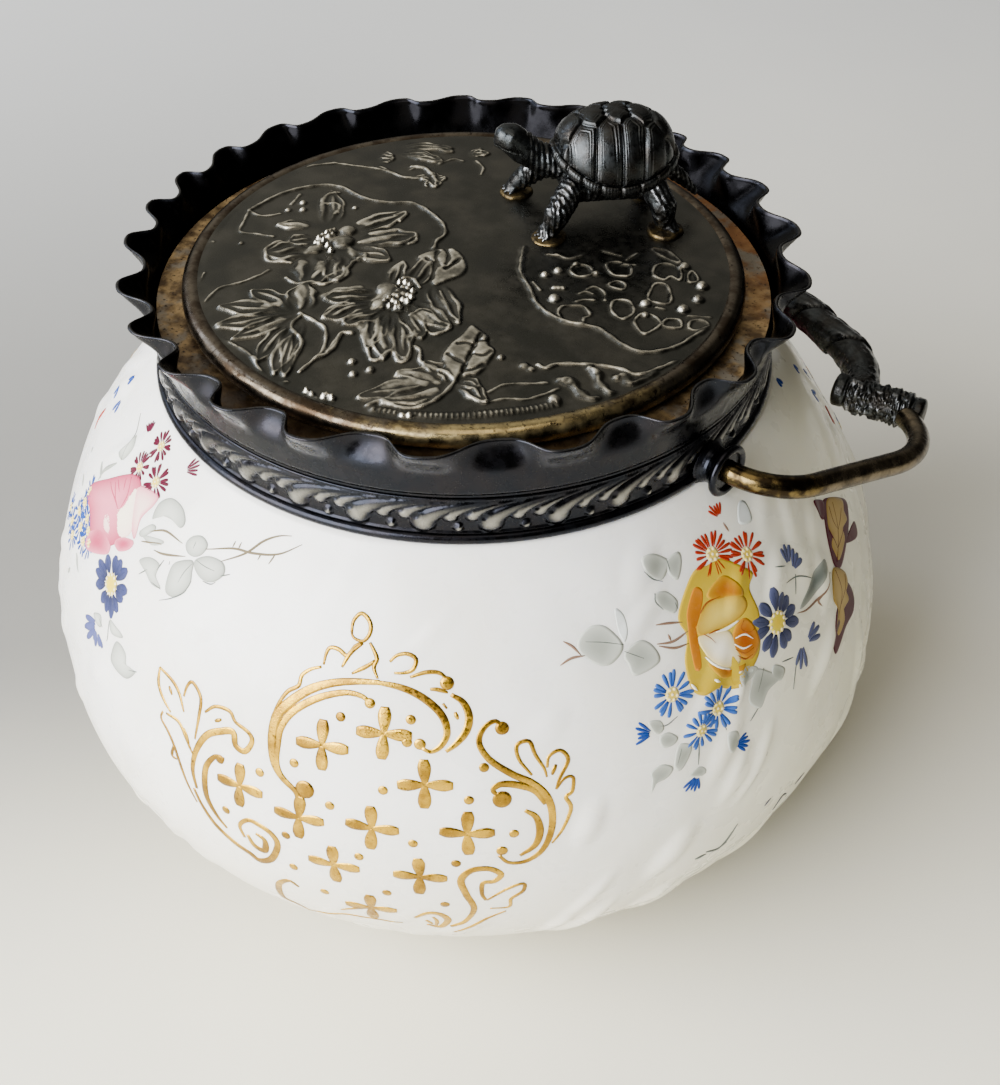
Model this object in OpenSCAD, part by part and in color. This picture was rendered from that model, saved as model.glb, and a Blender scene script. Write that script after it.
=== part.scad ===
// Covered biscuit jar: a blown glass bowl with a plated collar cemented on its neck, a
// lift-off lid that carries a turtle, and a bail that swings in two trumpet lugs.
// Millimetres, +Z up. The origin is the centre of the foot, on the table. The bail turns
// about a line along X and rests towards +Y.

/* [Bowl] */
// Radius of the bowl at its widest
bowl_r = 89; // [84:0.5:94]
// Height of the widest place above the table
belly_z = 50; // [46:0.5:54]
// Height that the shoulder curve would reach above the belly if it closed
shoulder_rise = 84; // [80:0.5:90]
// Depth that the lower curve would reach below the belly if it closed
foot_drop = 60; // [57:0.5:64]
// Thickness of the blown wall
bowl_wall = 4; // [3:0.25:5]
// Thickness of the floor
floor_t = 5; // [4:0.25:7]
// Height of the hollow pressed into the underside of the foot
push_up = 1.2; // [0.6:0.1:2]
// Width of the flat ring that the jar stands on
foot_ring_w = 7; // [4:0.5:10]

/* [Neck] */
// Outer radius of the neck
neck_r = 57.5; // [55:0.25:59]
// Thickness of the neck
neck_wall = 4; // [3:0.25:5]
// Height of the neck's rim above the top of the collar's wall
rim_over = 0.5; // [0.2:0.1:1.5]
// Thickness of the plaster between neck and collar
plaster_t = 1.7; // [1:0.1:2.5]

/* [Collar] */
// Height of the collar's wall above the bowl's ledge
collar_h = 11.1; // [10:0.1:13]
// Thickness of the collar's wall
collar_t = 1; // [0.8:0.1:1.4]
// Width of the glass ledge that stands out past the collar's wall
ledge_w = 1.5; // [1.2:0.1:2.2]
// Radius of the rolled bead at the collar's foot
bead_r = 1.1; // [0.8:0.1:1.3]
// Overhang of the lip at the top of the collar's wall
lip_w = 0.8; // [0.7:0.05:1.1]

/* [Gadroon strip] */
// Number of times that the strip's pattern repeats
gadroons = 32; // [24:1:40]
// Thickness of the strip between its lobes
strip_t = 0.35; // [0.25:0.05:0.5]
// Height of a full lobe above the strip
lobe_h = 0.8; // [0.4:0.05:0.9]

/* [Frill] */
// Height of the crimped frill
frill_h = 10.2; // [8:0.1:13]
// Number of crimps round the frill
crimps = 27; // [21:1:33]
// Distance that the outward crimps stand out past the collar's wall
crest_out = 6.6; // [5.4:0.1:7.8]
// Half of the depth of a crimp, as a mean
crimp_depth = 2.2; // [1.2:0.1:2.4]
// Distance that the frill leans towards its high side
frill_lean = 2.2; // [0:0.1:2.4]
// Distance that the tips of the crimps lean over sideways
crimp_lean = 0.9; // [0:0.1:1.4]
// Thickness of the frill's sheet
frill_t = 0.8; // [0.6:0.05:0.8]

/* [Seat ring] */
// Height of the lid's seat above the collar's wall
seat_rise = 4.1; // [3.5:0.1:5]
// Thickness of the seat ring
seat_t = 0.9; // [0.7:0.05:1.2]
// Gap between the neck's bore and the lip that turns down into it
throat_gap = 1.6; // [1:0.1:2.5]
// Length of the lip that turns down into the neck
throat_lip = 5.3; // [4:0.1:8]

/* [Lid] */
// Distance of the lid's rim from the inside of the collar's wall
lid_inset = 4.2; // [2.7:0.1:5.2]
// Radius of the wire of the rim bead
rim_bead_r = 2.2; // [1.8:0.1:2.6]
// Thickness of the lid's plate
lid_t = 1.2; // [0.9:0.1:1.6]
// Rise of the plate's dome
lid_dome = 0.87; // [0.5:0.01:2]
// Length of the locating flange below the seat
flange_drop = 6; // [4:0.1:10]
// Thickness of the locating flange
flange_t = 1; // [0.7:0.05:1.3]
// Gap all round between the flange and the throat
flange_gap = 0.6; // [0.4:0.05:1]

/* [Lid relief] */
// Height that the petals and leaves stand out of the lid
relief_h = 0.7; // [0.4:0.05:1]
// Width of the broadest petals and leaves
petal_w = 8; // [5:0.1:10]
// Height of the domes in the hearts of the flowers
heart_h = 1.3; // [0.8:0.05:1.6]
// Radius of the ribbed cord inside the rim
cord_r = 1; // [0.6:0.05:1.2]

/* [Turtle] */
// Distance of the turtle's middle from the edge of the lid's plate
turtle_inset = 18; // [17:0.1:22]
// Direction from the lid's centre to the turtle, turned from +X
turtle_turn = 74.9; // [60:0.1:120]
// Direction that the turtle faces, turned from +X
turtle_heading = 228.7; // [180:0.1:270]
// Length of the shell
shell_l = 25.4; // [22:0.1:27]
// Width of the shell
shell_w = 21.2; // [18:0.1:23]
// Height of the top of the shell above the feet
shell_top = 22.4; // [20:0.1:24]
// Height of the shell's rim above the feet, at the sides
shell_rim = 8.8; // [8:0.1:10]
// Height that the scutes stand out of the shell
scute_h = 0.4; // [0.2:0.05:0.7]
// Thickness of the solder under each foot
solder_t = 0.5; // [0.3:0.05:0.9]

/* [Lugs] */
// Height of the bail's pivot above the middle of the foot bead
pivot_rise = 1.9; // [1.2:0.1:3]
// Radius of a lug where it meets the collar
lug_foot_r = 5; // [4.4:0.1:5.4]
// Radius of a lug at its waist
lug_waist_r = 3.6; // [3.3:0.1:4]
// Radius of the lug's mouth
lug_mouth_r = 4.7; // [4.3:0.1:5.4]
// Length of a lug past the strip
lug_l = 4; // [3:0.1:5]
// Radius of the wire rolled round the lug's mouth
lug_wire_r = 0.8; // [0.6:0.05:1]

/* [Bail] */
// Radius of the bail's rod
rod_r = 2.2; // [1.8:0.05:2.5]
// Running clearance round the rod in a lug
rod_fit = 0.05; // [0.02:0.01:0.09]
// Radius of the bend next to a lug
elbow_r = 13; // [11:0.1:15]
// Turn of the bend next to a lug
elbow_turn = 75; // [70:1:80]
// Length of the straight side of the bail
side_l = 20; // [17:0.5:23]
// Radius of the bend below the grip
hook_r = 16.5; // [15:0.1:18]
// Turn of the bend below the grip
hook_turn = 78; // [72:1:84]
// Radius of the bow that the grip follows
grip_bow = 97.6; // [92:0.2:110]
// Distance of the grip's middle past the centre of the bend below the grip
grip_rise = 45.8; // [44.8:0.1:47.8]
// Mean radius of the grip
grip_r = 3.7; // [3.2:0.05:4]
// Radius of the knots' branch stubs
knot_r = 3.6; // [3.2:0.05:4]
// Length of each knot's branch stub
knot_l = 19; // [16:0.5:21]
// Distance that a knot's stub is set out past the end of the grip
knot_shift = 3.5; // [1:0.25:4.5]
// Length of the thicker ring at each end of a knot's stub
knot_ring = 3; // [2:0.25:4]
// Length of the boss between a knot's stub and the grip
knot_boss = 7.9; // [7:0.1:9]

/* [Clearances] */
// Gap between the lid's bead and its seat
lid_gap = 0.3; // [0.1:0.05:0.6]
// Gap between the resting grip and the glass
rest_gap = 0.35; // [0.2:0.05:1]
// Gap between the lugs and the shoulder of the glass
glass_gap = 0.1; // [0.05:0.05:0.3]
// Gap between soldered pieces that have flats on one side
solder_gap = 0.02; // [0.01:0.01:0.05]

/* [Hidden] */

// Exponents of the two curves that make the bowl's side
shoulder_power = 1.93;
foot_power = 2.17;
profile_steps = 18;

// Radii of the collar, from the neck outwards
wall_in = neck_r + plaster_t;
wall_out = wall_in + collar_t;
strip_back = wall_out + solder_gap;
strip_out = wall_out + strip_t + lobe_h;
neck_bore = neck_r - neck_wall;
throat_r = neck_bore - throat_gap - seat_t;
crest_r = wall_out + crest_out;
neck_fillet = 1;
rim_round = 1.5;

// Heights of the collar, from the bowl's ledge upwards
ledge_r = wall_out + ledge_w;
ledge_z = height_at(ledge_r, bowl_r, shoulder_rise);
bead_z = ledge_z + bead_r;
bead_ring_r = wall_out + bead_r * 0.45;
wall_top = ledge_z + collar_h;
rim_z = wall_top + rim_over;
lip_z = wall_top - lip_w * 1.25;
strip_z0 = bead_z + bead_r + 0.05;
strip_z1 = lip_z - 0.05;

// Seat and lid
seat_z = wall_top + seat_rise;
skirt_out = wall_in + seat_t;
crimp_start = (seat_rise + 0.1) / frill_h;
bead_ring = wall_in - lid_inset - rim_bead_r;
lid_bead_z = seat_z + lid_gap + rim_bead_r;
plate_r = bead_ring - rim_bead_r * 0.3;
plate_edge_z = lid_bead_z + rim_bead_r * 0.88;
plate_top = plate_edge_z + lid_dome;
flange_out = throat_r - flange_gap;

// Relief of the lid, in lengths for a plate of radius 52.1. A spray is where its petals or
// leaves meet, the radius of its heart, and each petal as [direction, length, width share]
relief_size = plate_r / 52.1;
sprays = [
    [[-23.5, -11.5], 4.4, [[48, 16, 0.75], [79, 17, 0.7], [139, 19, 0.6], [240, 15, 0.8],
        [298, 17, 1], [8, 14, 0.7]]],
    [[-1.5, -18.7], 4.6, [[79, 18, 1], [125, 11, 0.5], [227, 13, 0.7], [252, 15, 0.75],
        [301, 18, 0.65], [323, 21, 0.7], [348, 16, 0.7]]],
    [[-10.3, -33.8], 1.6, [[131, 9, 0.7], [187, 13, 0.65], [214, 15, 0.65], [238, 13, 0.6],
        [289, 14, 0.6], [309, 15, 0.6]]],
    [[25.9, -29.8], 1.4, [[124, 18, 1.15], [215, 11, 0.6], [240, 17, 0.8], [352, 9, 0.5]]],
    [[-41, 24], 1, [[18, 9, 0.5], [35, 11, 0.5]]]];
curls = [[33, -18.5, 3.4], [41, -17.3, 2.4], [42.9, -11.5, 2.2], [46.5, -9.6, 1.6]];
cord_place = 48.9;
cord_from = 310.4;
cord_turn = 21.5;

// Turtle, in lengths for a shell of 25.4: where its feet stand, forwards and to its left,
// and the leg joints above them
turtle_size = shell_l / 25.4;
feet_z = plate_top + solder_t * 0.4;
feet = [[12.6, 8.5], [17, -10.3], [-10.5, 8.5], [-9.5, -8.5]];
hips = [[8.5, 6.5], [9, -6.5], [-8, 6.5], [-8, -6.5]];
hip_z = shell_rim / turtle_size;
leg_r = 2.3;
pad_r = 3.1 * turtle_size;
pad_slope = 1.5 * turtle_size;
shell_shift = -1 * turtle_size;
rim_arch_fore = 4.8 * turtle_size;
rim_arch_aft = 3 * turtle_size;
marginal_h = 1.9 * turtle_size;
ball = 12;
claw = 7;

// Frill: how the hand-made crimps wander, as waves of [degrees, waves per turn, phase]
wander = [[7.6, 1, 151], [3.5, 2, -9], [2.6, 3, 21]];
wander_shift = -15.5;
frill_back = 133;
frill_cols = 8;

// Gadroon strip: lobes as [head along, head up, head radius, tail along, tail up], where
// along is a share of one repeat and up is a share of the strip's height
lobes = [[0.20, 0.34, 0.17, 0.72, 0.86], [0.55, 0.50, 0.09, 0.86, 0.88],
    [0.79, 0.44, 0.10, 1.15, 0.86], [0.66, 0.15, 0.07, 0.68, 0.26]];
strip_cols = 8;
strip_rows = 6;

// Bail: the line of one half, in the plane of the bail
pivot_z = bead_z + pivot_rise;
lug_x = strip_out + solder_gap;
mouth_x = lug_x + lug_l;
journal_x = max(lug_x, bead_ring_r + bead_r) + 0.4;
elbow_x = mouth_x + lug_wire_r * 0.6;
elbow_end = [elbow_x + elbow_r * sin(elbow_turn), elbow_r * (1 - cos(elbow_turn))];
side_end = elbow_end + side_l * [cos(elbow_turn), sin(elbow_turn)];
hook_mid = side_end + hook_r * [-sin(elbow_turn), cos(elbow_turn)];
hook_dir = elbow_turn + hook_turn;
hook_end = hook_mid + hook_r * [sin(hook_dir), -cos(hook_dir)];
grip_reach = hook_mid[1] + grip_rise;
grip_centre = grip_reach - grip_bow;
wrist_r = grip_bow * 0.256;
wrist_dir = 60;
grip_x = hook_mid[0] - hook_r * 0.39;
bow_turn = asin((grip_x - wrist_r * sin(wrist_dir)) / (grip_bow - wrist_r));
wrist_turn = wrist_dir - bow_turn;
bow_end = [grip_bow * sin(bow_turn), grip_centre + grip_bow * cos(bow_turn)];
wrist_mid = bow_end - wrist_r * [sin(bow_turn), cos(bow_turn)];
grip_end = wrist_mid + wrist_r * [sin(wrist_dir), cos(wrist_dir)];
knot_turn = 16;
knot_mid = grip_end + knot_boss * [cos(wrist_dir), -sin(wrist_dir)];
grip_step = 3.2;
grip_sides = 12;
rod_sides = 16;
rod_steps = 8;
elbow_waist = 0.96;
shoulder_l = 0.4;
sheath_l = 15;

// The bail drops until its grip comes to rest on the shoulder
rest_drop = max([for (a = [-10:0.25:25]) if (grip_clear(a) >= grip_r * 1.12 + rest_gap) a]);

function curve(share, power) = pow(1 - pow(share, power), 1 / power);
function radius_at(z, r, up, down) = z >= belly_z
    ? r * curve((z - belly_z) / up, shoulder_power)
    : r * curve((belly_z - z) / down, foot_power);
function height_at(radius, r, up) = belly_z + up * curve(radius / r, shoulder_power);
function side(r, up, down, z0, z1) = [for (i = [0:profile_steps])
    let (z = z0 + (z1 - z0) * i / profile_steps) [radius_at(z, r, up, down), z]];
function whole_side(r, up, down, z0, z1) = concat(side(r, up, down, z0, belly_z),
    [for (p = side(r, up, down, belly_z, z1)) if (p[1] > belly_z) p]);
function arc(mid, r, a0, a1, steps) = [for (i = [0:steps])
    let (a = a0 + (a1 - a0) * i / steps) mid + r * [cos(a), sin(a)]];
function smooth(t) = let (s = max(0, min(1, t))) s * s * (3 - 2 * s);

// Least distance from the grip's middle to the glass when the bail hangs a degrees low
function grip_clear(a) = let (p = [grip_reach * cos(a), pivot_z - grip_reach * sin(a)])
    min([for (q = side(bowl_r, shoulder_rise, foot_drop, belly_z, ledge_z)) norm(p - q)])
    * (p[0] > radius_at(p[1], bowl_r, shoulder_rise, foot_drop) ? 1 : -1);

// Faces of a grid of points that closes on itself both ways
function torus_faces(cols, loop) = [for (i = [0:cols - 1], j = [0:loop - 1], h = [0, 1])
    let (a = i * loop + j, b = i * loop + (j + 1) % loop,
        c = (i + 1) % cols * loop + (j + 1) % loop, d = (i + 1) % cols * loop + j)
    h == 0 ? [a, b, c] : [a, c, d]];

// Faces of a stack of rings, closed at each end by a fan to one of the two last points
function tube_faces(rings, sides) = concat(
    [for (i = [0:rings - 2], j = [0:sides - 1], h = [0, 1])
        let (a = i * sides + j, b = i * sides + (j + 1) % sides,
            c = (i + 1) * sides + (j + 1) % sides, d = (i + 1) * sides + j)
        h == 0 ? [a, c, b] : [a, d, c]],
    [for (j = [0:sides - 1]) [j, (j + 1) % sides, rings * sides]],
    [for (j = [0:sides - 1]) let (last = (rings - 1) * sides)
        [last + (j + 1) % sides, last + j, rings * sides + 1]]);

// ---- Bowl ----

module glass_bowl() {
    outer = whole_side(bowl_r, shoulder_rise, foot_drop, 0, ledge_z);
    neck_z = height_at(neck_bore, bowl_r - bowl_wall, shoulder_rise - bowl_wall);
    inner = whole_side(bowl_r - bowl_wall, shoulder_rise - bowl_wall, foot_drop - bowl_wall,
        floor_t, neck_z);
    foot_in = outer[0][0] - foot_ring_w;
    fillet = arc([neck_r + neck_fillet, ledge_z + neck_fillet], neck_fillet, 270, 180, 4);
    lip_out = arc([neck_r - rim_round, rim_z - rim_round], rim_round, 0, 90, 4);
    lip_in = arc([neck_bore + rim_round, rim_z - rim_round], rim_round, 90, 180, 4);
    color("ivory")
        rotate_extrude($fn = 180)
            polygon(concat([[0, push_up], [foot_in - push_up, push_up], [foot_in, 0]], outer,
                fillet, lip_out, lip_in,
                [for (i = [len(inner) - 1:-1:0]) inner[i]], [[0, floor_t]]));
}

module plaster_seal() {
    low = ledge_z + neck_fillet + 0.1;
    color("gainsboro")
        rotate_extrude($fn = 180)
            translate([neck_r, low])
                square([plaster_t, wall_top - rim_round - low]);
}

// ---- Collar ----

module collar_profile() {
    polygon([[wall_in, bead_z], [wall_out, bead_z], [wall_out, lip_z],
        [wall_out + lip_w, wall_top - lip_w / 2], [wall_out + lip_w, wall_top],
        [wall_in, wall_top]]);
}

module collar_wall() {
    color("dimgray")
        rotate_extrude($fn = 180)
            collar_profile();
}

module foot_bead_profile() {
    translate([bead_ring_r, bead_z])
        circle(r = bead_r, $fn = 48);
}

module collar_foot_bead() {
    color("dimgray")
        rotate_extrude($fn = 180)
            difference() {
                foot_bead_profile();
                collar_profile();
            }
}

// Height of one lobe over a place on the strip: a round head and a tail that thins out
function lobe_at(p, lobe, pitch, tall) = let (
    head = [lobe[0] * pitch, lobe[1] * tall], tail = [lobe[3] * pitch, lobe[4] * tall],
    bend = [head[0] * 0.8 + tail[0] * 0.2, tail[1]])
    max([for (i = [0:6]) let (t = i / 6,
        q = head * pow(1 - t, 2) + bend * 2 * t * (1 - t) + tail * t * t,
        r = lobe[2] * pitch * (1 - 0.75 * t), d = norm(p - q) / r)
        d < 1 ? sqrt(1 - d * d) * (1 - 0.5 * t) : 0]);

function strip_relief(u, v, pitch, tall) = max([for (lobe = lobes, k = [-1, 0, 1])
    lobe_at([(u + k) * pitch, v * tall], lobe, pitch, tall)]);

module gadroon_strip() {
    tall = strip_z1 - strip_z0;
    pitch = 2 * PI * wall_out / gadroons;
    face = [for (i = [0:strip_cols - 1]) [for (j = [0:strip_rows])
        wall_out + strip_t + (j == 0 || j == strip_rows ? 0 : lobe_h
            * strip_relief(i / strip_cols, j / strip_rows, pitch, tall))]];
    cols = gadroons * strip_cols;
    back = strip_back / cos(180 / cols);
    points = [for (i = [0:cols - 1]) let (a = 360 * i / cols, d = [cos(a), sin(a)])
        each concat([for (j = [0:strip_rows]) let (r = face[i % strip_cols][j])
            [d[0] * r, d[1] * r, strip_z0 + tall * j / strip_rows]],
            [[d[0] * back, d[1] * back, strip_z1], [d[0] * back, d[1] * back, strip_z0]])];
    color("silver")
        polyhedron(points, torus_faces(cols, strip_rows + 3), convexity = 10);
}

// Place of the frill's outer skin in direction a, at share u of its height
function crimp_turn(a) = crimps * (a + wander_shift
    + wander[0][0] * cos(wander[0][1] * a + wander[0][2])
    + wander[1][0] * cos(wander[1][1] * a + wander[1][2])
    + wander[2][0] * cos(wander[2][1] * a + wander[2][2]));
function frill_radius(a, u) = let (d = a - frill_back, root = wall_out + lip_w - 0.05,
    crest = crest_r + frill_lean * cos(d) - 0.36 * frill_lean * cos(2 * d),
    depth = crimp_depth * (1 - 0.32 * cos(d) - 0.18 * cos(2 * d)), mid = crest - depth)
    root + (mid - root) * pow(u, 1.3) + depth * cos(crimp_turn(a))
        * smooth((u - crimp_start) / (1 - crimp_start));

// Direction in which a place of the frill stands once the crimps lean over
function leaned(a, u) = a - crimp_lean / crest_r * 180 / PI * cos(crimp_turn(a))
    * smooth((u - crimp_start) / (1 - crimp_start));

// The inner skin stays clear of the seat ring that stands inside the frill's root
function frill_inside(a, u) = let (r = frill_radius(a, u) - frill_t)
    u > crimp_start ? r : max(r, skirt_out + 0.04);

module collar_frill() {
    cols = crimps * frill_cols;
    out_u = [0, crimp_start, 0.6, 0.8, 1];
    in_u = [1, 0.75, crimp_start, 0];
    points = [for (i = [0:cols - 1]) let (a = 360 * i / cols)
        each concat(
            [for (u = out_u) let (r = frill_radius(a, u), b = leaned(a, u))
                [r * cos(b), r * sin(b), wall_top + frill_h * u]],
            [for (u = in_u) let (r = frill_inside(a, u), b = leaned(a, u))
                [r * cos(b), r * sin(b), wall_top + frill_h * u]])];
    color("slategray")
        polyhedron(points, torus_faces(cols, len(out_u) + len(in_u)), convexity = 10);
}

module seat_ring() {
    lip_low = seat_z - throat_lip;
    color("rosybrown")
        rotate_extrude($fn = 180)
            polygon([[wall_in, wall_top], [skirt_out, wall_top], [skirt_out, seat_z],
                [throat_r + 0.5, seat_z], [throat_r, seat_z - 0.5], [throat_r, lip_low],
                [throat_r + seat_t, lip_low], [throat_r + seat_t, seat_z - seat_t],
                [wall_in, seat_z - seat_t]]);
}

// ---- Lugs ----

module collar_envelope() {
    rotate_extrude($fn = 180) {
        translate([wall_in, bead_z])
            square([strip_out + solder_gap - wall_in, wall_top - bead_z]);
        translate([bead_ring_r, bead_z])
            circle(r = bead_r + solder_gap, $fn = 48);
    }
}

module bowl_envelope() {
    top = ledge_z + glass_gap;
    rotate_extrude($fn = 180)
        polygon(concat([[0, belly_z]], side(bowl_r + glass_gap, shoulder_rise + glass_gap,
            foot_drop, belly_z, ledge_z), [[ledge_r + glass_gap, top], [0, top]]));
}

module handle_lug() {
    hollow = lug_l * 0.48;
    waist = arc([lug_x + lug_l * 0.42, lug_waist_r + hollow], hollow, 205, 335, 8);
    color("dimgray")
        difference() {
            translate([0, 0, pivot_z])
                rotate([0, 90, 0])
                    rotate_extrude($fn = 96)
                        polygon(concat([[0, wall_out + 0.5], [lug_foot_r, wall_out + 0.5]],
                            [for (p = waist) [p[1], p[0]]],
                            [[lug_mouth_r, mouth_x - 0.4], [lug_mouth_r, mouth_x],
                            [0, mouth_x]]));
            translate([journal_x - 0.2, 0, pivot_z])
                rotate([0, 90, 0])
                    cylinder(r = rod_r + rod_fit, h = lug_l + 1, $fn = 64);
            collar_envelope();
            bowl_envelope();
        }
}

module handle_lug_front() {
    handle_lug();
}

module handle_lug_rear() {
    mirror([1, 0, 0])
        handle_lug();
}

module lug_wire() {
    color("gray")
        difference() {
            translate([mouth_x, 0, pivot_z])
                rotate([0, 90, 0])
                    rotate_extrude($fn = 96)
                        translate([lug_mouth_r - lug_wire_r * 0.4, 0])
                            circle(r = lug_wire_r, $fn = 32);
            translate([mouth_x - 3, 0, pivot_z])
                rotate([0, 90, 0])
                    cylinder(r = lug_mouth_r, h = 3, $fn = 96);
        }
}

module lug_wire_front() {
    lug_wire();
}

module lug_wire_rear() {
    mirror([1, 0, 0])
        lug_wire();
}

// ---- Lid ----

function plate_line(lift) = [for (i = [0:16]) let (r = plate_r * i / 16)
    [r, plate_top - lid_dome * pow(r / plate_r, 2) + lift]];

module plate_profile() {
    low = plate_line(-lid_t);
    polygon(concat(plate_line(0), [for (i = [len(low) - 1:-1:0]) low[i]]));
}

function plate_z(p) = plate_top - lid_dome * pow(norm(p) / plate_r, 2);

// Outline of a petal or leaf that lies along +X from the origin
function petal_half(t, w) = w / 2 * pow(max(0, sin(180 * pow(t, 0.8))), 0.7);
function petal_line(l, w) = concat([[0, 0]],
    [for (i = [1:6]) [l * i / 7, petal_half(i / 7, w)]], [[l, 0]],
    [for (i = [6:-1:1]) [l * i / 7, -petal_half(i / 7, w)]]);

module petal(foot, dir, l, w) {
    mid = foot + l * 0.55 * [cos(dir), sin(dir)];
    translate([foot[0], foot[1], plate_z(mid) - lid_t * 0.55])
        rotate([0, 0, dir])
            linear_extrude(lid_t * 0.55 + relief_h)
                polygon(petal_line(l, w));
}

// A low dome that stands on the plate
module stud(place, r) {
    h = min(heart_h, r * 0.45);
    ball_r = (r * r + h * h) / (2 * h);
    translate([place[0], place[1], plate_z(place)])
        rotate_extrude($fn = 48)
            polygon(concat([[0, -lid_t * 0.5], [r, -lid_t * 0.5]],
                [for (i = [0:5]) let (a = asin(r / ball_r) * (1 - i / 5))
                    [ball_r * sin(a), h - ball_r + ball_r * cos(a)]]));
}

module lid_relief() {
    for (spray = sprays) {
        for (leaf = spray[2])
            petal(spray[0] * relief_size, leaf[0], leaf[1] * relief_size, leaf[2] * petal_w);
        stud(spray[0] * relief_size, spray[1] * relief_size);
    }
    for (curl = curls)
        stud([curl[0], curl[1]] * relief_size, curl[2] * relief_size);
    cord_at = [cord_place * relief_size, 0];
    rotate([0, 0, cord_from])
        rotate_extrude(angle = cord_turn, $fn = 180)
            translate([cord_at[0], plate_z(cord_at)])
                polygon(concat([[cord_r, -lid_t * 0.5]],
                    [for (a = [0:15:180]) cord_r * [cos(a), 0.75 * sin(a)]],
                    [[-cord_r, -lid_t * 0.5]]));
}

module lid_plate() {
    color("darkslategray") {
        rotate_extrude($fn = 180)
            plate_profile();
        lid_relief();
    }
}

module lid_rim_bead() {
    color("tan")
        rotate_extrude($fn = 180)
            difference() {
                translate([bead_ring, lid_bead_z])
                    circle(r = rim_bead_r, $fn = 64);
                plate_profile();
            }
}

module lid_flange() {
    low = seat_z - flange_drop;
    color("tan")
        rotate_extrude($fn = 180)
            difference() {
                translate([flange_out - flange_t, low])
                    square([flange_t, plate_top - lid_t / 2 - low - lid_dome]);
                translate([bead_ring, lid_bead_z])
                    circle(r = rim_bead_r, $fn = 64);
                plate_profile();
            }
}

// ---- Turtle ----

module on_lid() {
    out = plate_r - turtle_inset;
    translate([out * cos(turtle_turn), out * sin(turtle_turn), feet_z])
        rotate([0, 0, turtle_heading])
            children();
}

// One point of the shell: direction a, share of the rim's oval, height share of the dome
function rim_z_at(a) = shell_rim + (cos(a) > 0 ? rim_arch_fore : rim_arch_aft) * pow(cos(a), 2);
function shell_point(a, share, z) = [shell_shift + shell_l / 2 * share * cos(a),
    shell_w / 2 * share * sin(a), z];
function dome_ring(cols, rise, swell) = [for (i = [0:cols - 1]) let (a = 360 * i / cols,
    z0 = rim_z_at(a) + marginal_h + swell, share = (0.94 + swell * 2 / shell_w))
    shell_point(a, share * pow(cos(rise), 0.8), z0 + (shell_top + swell - z0) * sin(rise))];

module shell_dome(swell) {
    cols = 48;
    rises = [0, 18, 36, 52, 66, 79];
    points = concat([for (rise = rises) each dome_ring(cols, rise, swell)],
        [shell_point(0, 0, shell_rim + turtle_size + 2 * swell),
            shell_point(0, 0, shell_top + swell)]);
    polyhedron(points, tube_faces(len(rises), cols), convexity = 4);
}

module marginals() {
    cols = 48;
    heights = [[0.86, marginal_h * 0.16], [1, 0], [0.99, marginal_h * 0.89],
        [0.9, marginal_h * 1.26]];
    points = [for (h = heights, i = [0:cols - 1]) let (a = 360 * i / cols,
        notch = i % 2 == 0 ? 0.03 : 0) shell_point(a, h[0] - notch, rim_z_at(a) + h[1])];
    ends = [for (h = [1.5, 4]) shell_point(0, 0, shell_rim + h * turtle_size)];
    polyhedron(concat(points, ends), tube_faces(len(heights), cols), convexity = 6);
}

// Plain outside of the shell, a little larger, that the body is cut to fit
module shell_envelope() {
    cols = 48;
    gap = 0.05;
    under = [for (h = [[0.84, marginal_h * 0.16], [1.01, 0], [1.01, marginal_h]],
        i = [0:cols - 1])
        let (a = 360 * i / cols) shell_point(a, h[0], rim_z_at(a) + h[1] - gap)];
    points = concat(under, [for (rise = [10, 40, 70]) each dome_ring(cols, rise, gap)],
        [shell_point(0, 0, shell_rim + turtle_size - gap), shell_point(0, 0, shell_top)]);
    polyhedron(points, tube_faces(6, cols), convexity = 6);
}

// Outlines of the scutes, seen from above
scute_l = shell_l * 0.188;
scute_in = shell_w * 0.1085;
scute_out = shell_w * 0.2075;
function spine(i) = shell_shift + scute_l * (i - 2.5);
function keel_scute(i) = [[spine(i), -scute_in], [spine(i + 0.5), -scute_out],
    [spine(i + 1), -scute_in], [spine(i + 1), scute_in], [spine(i + 0.5), scute_out],
    [spine(i), scute_in]];
function side_scute(i) = [[spine(i + 0.5), scute_out], [spine(i + 1), scute_in],
    [spine(i + 1.5), scute_out], [spine(i + 1.5), shell_w / 2], [spine(i + 0.5), shell_w / 2]];

module scute(outline) {
    linear_extrude(shell_top + 2)
        offset(delta = -0.3)
            polygon(outline);
}

module shell_solid() {
    shell_dome(0);
    marginals();
    intersection() {
        shell_dome(scute_h);
        union() {
            for (i = [0:4])
                scute(keel_scute(i));
            for (i = [0:3], m = [0, 1])
                mirror([0, m, 0])
                    scute(side_scute(i));
        }
    }
}

module turtle_shell() {
    color("dimgray")
        on_lid()
            shell_solid();
}

module bone(a, ra, b, rb, sides = ball) {
    hull() {
        translate(a * turtle_size)
            sphere(r = ra * turtle_size, $fn = sides);
        translate(b * turtle_size)
            sphere(r = rb * turtle_size, $fn = sides);
    }
}

module leg(hip, foot) {
    out = sign(foot[1]);
    fore = sign(foot[0]);
    knee = [(hip[0] + foot[0]) / 2 + 0.5 * fore, hip[1] + 2.2 * out, 5.2];
    bone([hip[0], hip[1], hip_z], leg_r, knee, leg_r * 0.95);
    bone(knee, leg_r * 0.95, [foot[0], foot[1], 1.2], leg_r * 0.72);
    for (spread = [-1, 0, 1])
        bone([foot[0], foot[1], 0.7], 1.2,
            [foot[0] + 2.3 * fore * cos(30 * spread), foot[1] + 2.3 * sin(30 * spread), 0.4],
            0.8, claw);
}

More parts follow.
